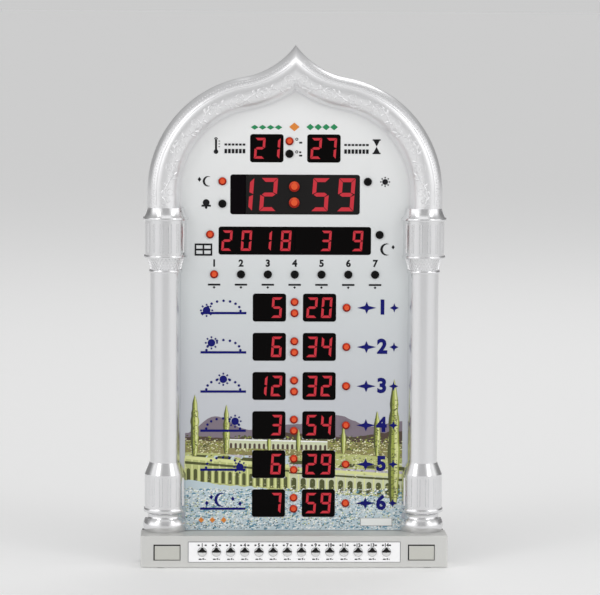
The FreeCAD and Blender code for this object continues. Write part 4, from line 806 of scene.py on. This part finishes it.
# Displays: moulded black blocks that stand on the board and come through the windows. Their
# lit segments are slanted crimson figures just in front of the black.
DISPLAY_FACE = 7.2
SEGMENTS_Y = DISPLAY_FACE - 0.06
SLANT = 0.07
SEGMENTS = {
    "0": "abcdef", "1": "bc", "2": "abged", "3": "abgcd", "4": "fgbc",
    "5": "afgcd", "6": "afgedc", "7": "abc", "8": "abcdefg", "9": "abcdfg",
}
dress("display_black", finish("display_black", (0.0025, 0.002, 0.002), 0.28, shine=0.04))
dress("filter_black", finish("filter_black", (0.003, 0.002, 0.003), 0.10, shine=0.04))
nodes["clock_display"].material_slots[0].material = finish("clock_face", (0.012, 0.011, 0.011), 0.35,
                                                           shine=0.12)
segment_red = finish("segment_red", (0.60, 0.015, 0.032), 0.40, glow=0.76)
segment_shader = segment_red.node_tree.nodes["Principled BSDF"]
segment_shader.inputs["Base Color"].default_value = (0.08, 0.002, 0.004, 1)


def digit(char, x, z, width, height):
    """The lit segments of one digit, centred on (x, z), with mitred ends."""
    thick = 0.235 * width
    gap = 0.14 + 0.006 * height
    w, h = width / 2, height / 2
    top = [(-w + gap, h), (w - gap, h), (w - thick - gap, h - thick), (-w + thick + gap, h - thick)]
    upright = [(-w, h - gap), (-w + thick, h - thick - gap), (-w + thick, thick / 2 + gap), (-w, gap * 1.2)]
    waist = [(-w + 0.3 * thick + gap, 0), (-w + thick + gap, thick / 2), (w - thick - gap, thick / 2),
             (w - 0.3 * thick - gap, 0), (w - thick - gap, -thick / 2), (-w + thick + gap, -thick / 2)]
    shapes = {
        "a": top, "d": [(px, -pz) for px, pz in top], "g": waist, "f": upright,
        "b": [(-px, pz) for px, pz in upright], "e": [(px, -pz) for px, pz in upright],
        "c": [(-px, -pz) for px, pz in upright],
    }
    return [[(x + px + SLANT * pz, z + pz) for px, pz in shapes[name]] for name in SEGMENTS[char]]


# Each reading: its name, height above the floor, width and height of a digit, and the digits.
readings = [
    ("temperature_segments", 369.1, 9.2, 18.4, [("2", -31.4), ("1", -18.2)]),
    ("countdown_segments", 369.1, 9.2, 18.4, [("2", 18.4), ("7", 31.6)]),
    ("date_segments", 287.4, 9.0, 18.0, [("2", -60.0), ("0", -42.8), ("1", -25.2), ("8", -7.9),
                                         ("3", 27.6), ("9", 55.6)]),
    ("clock_segments", 328.3, 14.6, 29.2, [("1", -44.4), ("2", -23.4), ("5", 22.4), ("9", 45.2)]),
]
for number, shown in enumerate(("520", "634", "1232", "354", "629", "759")):
    hour = [(shown[-3], -15.6)]
    if len(shown) == 4:
        hour.append((shown[0], -28.6))
    minute = [(shown[-2], 15.6), (shown[-1], 28.6)]
    for part, digits in (("hour", hour), ("minute", minute)):
        name = f"row{number + 1}_{part}_segments"
        readings.append((name, row_heights[number], 9.1, 18.2, digits))
for name, z, width, height, digits in readings:
    shapes = []
    for char, x in digits:
        shapes += digit(char, x, z, width, height)
    print_piece(name, [(segment_red, shapes)], SEGMENTS_Y, spread=0)

# Lamps: domed red lenses that come through the holes of the face. Their colour carries a painted
# highlight, brightest in the middle and towards the top, and painted shade darkening to the rim.
# Those that are off are nearly black.
LENS_PAINTED_LIGHT = ((0.0, (0.76, 0.12, 0.040)), (0.05, (0.52, 0.040, 0.012)), (0.18, (0.36, 0.014, 0.005)),
              (0.46, (0.07, 0.003, 0.002)))
LENS_OFF = (0.002, 0.002, 0.002)
LENS_REACH = 0.005


def painted_lens_light_nodes():
    """Shader nodes that turn the way a dome faces into a painted highlight and shade, brightest in the
    middle and towards the top.
    """
    group = bpy.data.node_groups.new("Lens painted light", "ShaderNodeTree")
    group.interface.new_socket("Normal", in_out="INPUT", socket_type="NodeSocketVector")
    group.interface.new_socket("Tone", in_out="OUTPUT", socket_type="NodeSocketColor")
    start = group.nodes.new("NodeGroupInput")
    end = group.nodes.new("NodeGroupOutput")
    facing = group.nodes.new("ShaderNodeSeparateXYZ")
    group.links.new(start.outputs["Normal"], facing.inputs[0])
    # Painted highlight: the dome is lighter where it faces up and darker where it faces down.
    painted_top_light = add_math(group, "MULTIPLY_ADD", facing.outputs[2], -0.24, 1.02)
    tone = add_ramp(group, add_math(group, "ADD", facing.outputs[1], painted_top_light), LENS_PAINTED_LIGHT)
    group.links.new(tone, end.inputs["Tone"])
    return group


lens_painted_light = painted_lens_light_nodes()


def lamp_skin(name, lit=()):
    """A lens lit wherever it lies within reach of one of the (x, z) points, or everywhere."""
    made = finish(name, (0.7, 0.03, 0.01), 0.22, shine=0.12)
    tree = made.node_tree
    shape = tree.nodes.new("ShaderNodeNewGeometry")
    lens = tree.nodes.new("ShaderNodeGroup")
    lens.node_tree = lens_painted_light
    tree.links.new(shape.outputs["Normal"], lens.inputs["Normal"])
    colour = lens.outputs["Tone"]
    if lit:
        spot = tree.nodes.new("ShaderNodeTexCoord")
        flat = tree.nodes.new("ShaderNodeVectorMath")
        flat.operation = "MULTIPLY"
        flat.inputs[1].default_value = (1, 0, 1)
        tree.links.new(spot.outputs["Object"], flat.inputs[0])
        total = 0.0
        for x, z in lit:
            reach = tree.nodes.new("ShaderNodeVectorMath")
            reach.operation = "DISTANCE"
            reach.inputs[1].default_value = (x / 1000, 0, z / 1000)
            tree.links.new(flat.outputs[0], reach.inputs[0])
            near = add_math(tree, "LESS_THAN", reach.outputs["Value"], LENS_REACH)
            total = add_math(tree, "MAXIMUM", total, near)
        colour = add_mix(tree, total, LENS_OFF, colour)
    shader = tree.nodes["Principled BSDF"]
    tree.links.new(colour, shader.inputs["Base Color"])
    tree.links.new(colour, shader.inputs["Emission Color"])
    shader.inputs["Emission Strength"].default_value = 0.18
    return made


dress("red_lamp", lamp_skin("lamp_lit"))
mode_lens = lamp_skin("mode_lamp_lens", [(-5.2, 375.4), (-64.2, 339.8), (-75.0, 292.8)])
nodes["mode_lamps"].material_slots[0].material = mode_lens
weekday_lens = lamp_skin("weekday_lamp_lens", [(-71.25, 257.5)])
nodes["weekday_lamps"].material_slots[0].material = weekday_lens

# Keys: fourteen turned buttons with polished domes, each free in its hole in the plinth. Each
# dome's colour carries a painted reflection: black in a wedge on its upper part, pale below.
KEY_PITCH = 12.5
key_places = [(k - 6.5) * KEY_PITCH for k in range(14)]
key_skin = finish("key_dome", (0.8, 0.8, 0.8), 0.16, 0.3)
dress("key_chrome", key_skin)
tree = key_skin.node_tree
shape = tree.nodes.new("ShaderNodeNewGeometry")
facing = tree.nodes.new("ShaderNodeSeparateXYZ")
tree.links.new(shape.outputs["Normal"], facing.inputs[0])
# Painted reflection: where the dome faces upward, within a wedge, it is black; the rest is pale.
painted_reflection_wedge = add_math(tree, "ADD", add_math(tree, "ABSOLUTE", facing.outputs[0]), facing.outputs[2])
above = add_math(tree, "GREATER_THAN", facing.outputs[2], -0.035)
within = add_math(tree, "LESS_THAN", painted_reflection_wedge, 0.40)
dark = add_math(tree, "MULTIPLY", above, within)
dome = add_mix(tree, dark, (0.80, 0.80, 0.80), (0.006, 0.006, 0.006))
tree.links.new(dome, tree.nodes["Principled BSDF"].inputs["Base Color"])

# Key strip: a white printed label in a seat of the plinth, with a thin grey line round it, a
# ring at each key, numbers above the keys and ticks below them.
# The label carries a faint painted glow, light of its own that brightens its white.
dress("strip_white", finish("strip_white", (0.95, 0.95, 0.96), 0.35, glow=0.08))
strip_low, strip_high = (corner * 1000 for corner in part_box("label_strip"))
strip_x, strip_foot, strip_top = strip_high.x, strip_low.z, strip_high.z
strip_y = strip_low.y - 0.03
KEY_Z, RING_R = 14.6, 4.2
strip_lines = [bar(-strip_x, strip_foot, strip_x, strip_foot + 0.45),
               bar(-strip_x, strip_top - 0.7, strip_x, strip_top),
               bar(-strip_x, strip_foot, -strip_x + 0.6, strip_top),
               bar(strip_x - 0.6, strip_foot, strip_x, strip_top)]
key_rings, key_marks = [], []
for x in key_places:
    key_rings += ring(x, KEY_Z, RING_R, 0.36)
    key_marks += [bar(x - 4.0, 19.9, x - 2.2, 21.2), bar(x + 2.2, 19.9, x + 4.0, 21.2)]
    key_marks += [bar(x - 3.0, 7.6, x - 0.5, 8.7), bar(x + 0.3, 7.6, x + 1.5, 9.1)]
    key_marks += [bar(x + 2.1, 7.6, x + 3.0, 8.5)]
print_piece("key_strip_print",
            [(ink["grey"], strip_lines + key_rings), (ink["black"], key_marks)], strip_y)
numbers("key_numbers", ink["black"],
        [(str(k + 1), x, 20.6) for k, x in enumerate(key_places)], 4.1, strip_y)

# Inset plates: two painted plates let into the plinth beside the keys. Thin dark lines are
# painted shadow along the top and the left of each seat, and painted shade along its other two edges.
dress("inset_silver", finish("inset_silver", (0.66, 0.66, 0.61), 0.45, 0.5))
ink["shadow"] = finish("print_shadow", (0.13, 0.13, 0.13), 0.45, shine=0.15)
for node in ("left_inset_plate", "right_inset_plate"):
    low, high = (corner * 1000 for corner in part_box(node))
    step = [bar(low.x - 0.5, high.z - 0.7, high.x + 0.2, high.z + 0.5),
            bar(low.x - 0.5, low.z, low.x + 0.6, high.z)]
    # Painted shade: grey lines along the bottom and the right of each plate.
    edge_painted_shade = [bar(low.x, low.z - 0.35, high.x + 0.35, low.z), bar(high.x, low.z, high.x + 0.4, high.z)]
    print_piece(node + "_painted_shadow", [(ink["black"], step), (ink["shadow"], edge_painted_shade)],
                low.y - 0.04)

# Back and inside: the moulded cover and its door, the boards with chips, switches and flat
# cable, the loudspeaker, the cells and their contacts, the screws and the feet.
INSIDE = {
    "black_case": ((0.022, 0.022, 0.024), 0.52, 0.0),
    "component_black": ((0.020, 0.020, 0.022), 0.45, 0.0),
    "board_green": ((0.02, 0.13, 0.05), 0.40, 0.0),
    "speaker_steel": ((0.05, 0.05, 0.055), 0.40, 0.3),
    "cable_grey": ((0.32, 0.32, 0.34), 0.50, 0.0),
    "cell_wrap": ((0.10, 0.11, 0.15), 0.30, 0.6),
    "contact_steel": ((0.70, 0.70, 0.68), 0.22, 1.0),
    "screw_steel": ((0.50, 0.50, 0.52), 0.30, 1.0),
    "foot_rubber": ((0.025, 0.025, 0.025), 0.75, 0.0),
}
for slot_name, (colour, rough, metal) in INSIDE.items():
    dress(slot_name, finish(slot_name, colour, rough, metal))
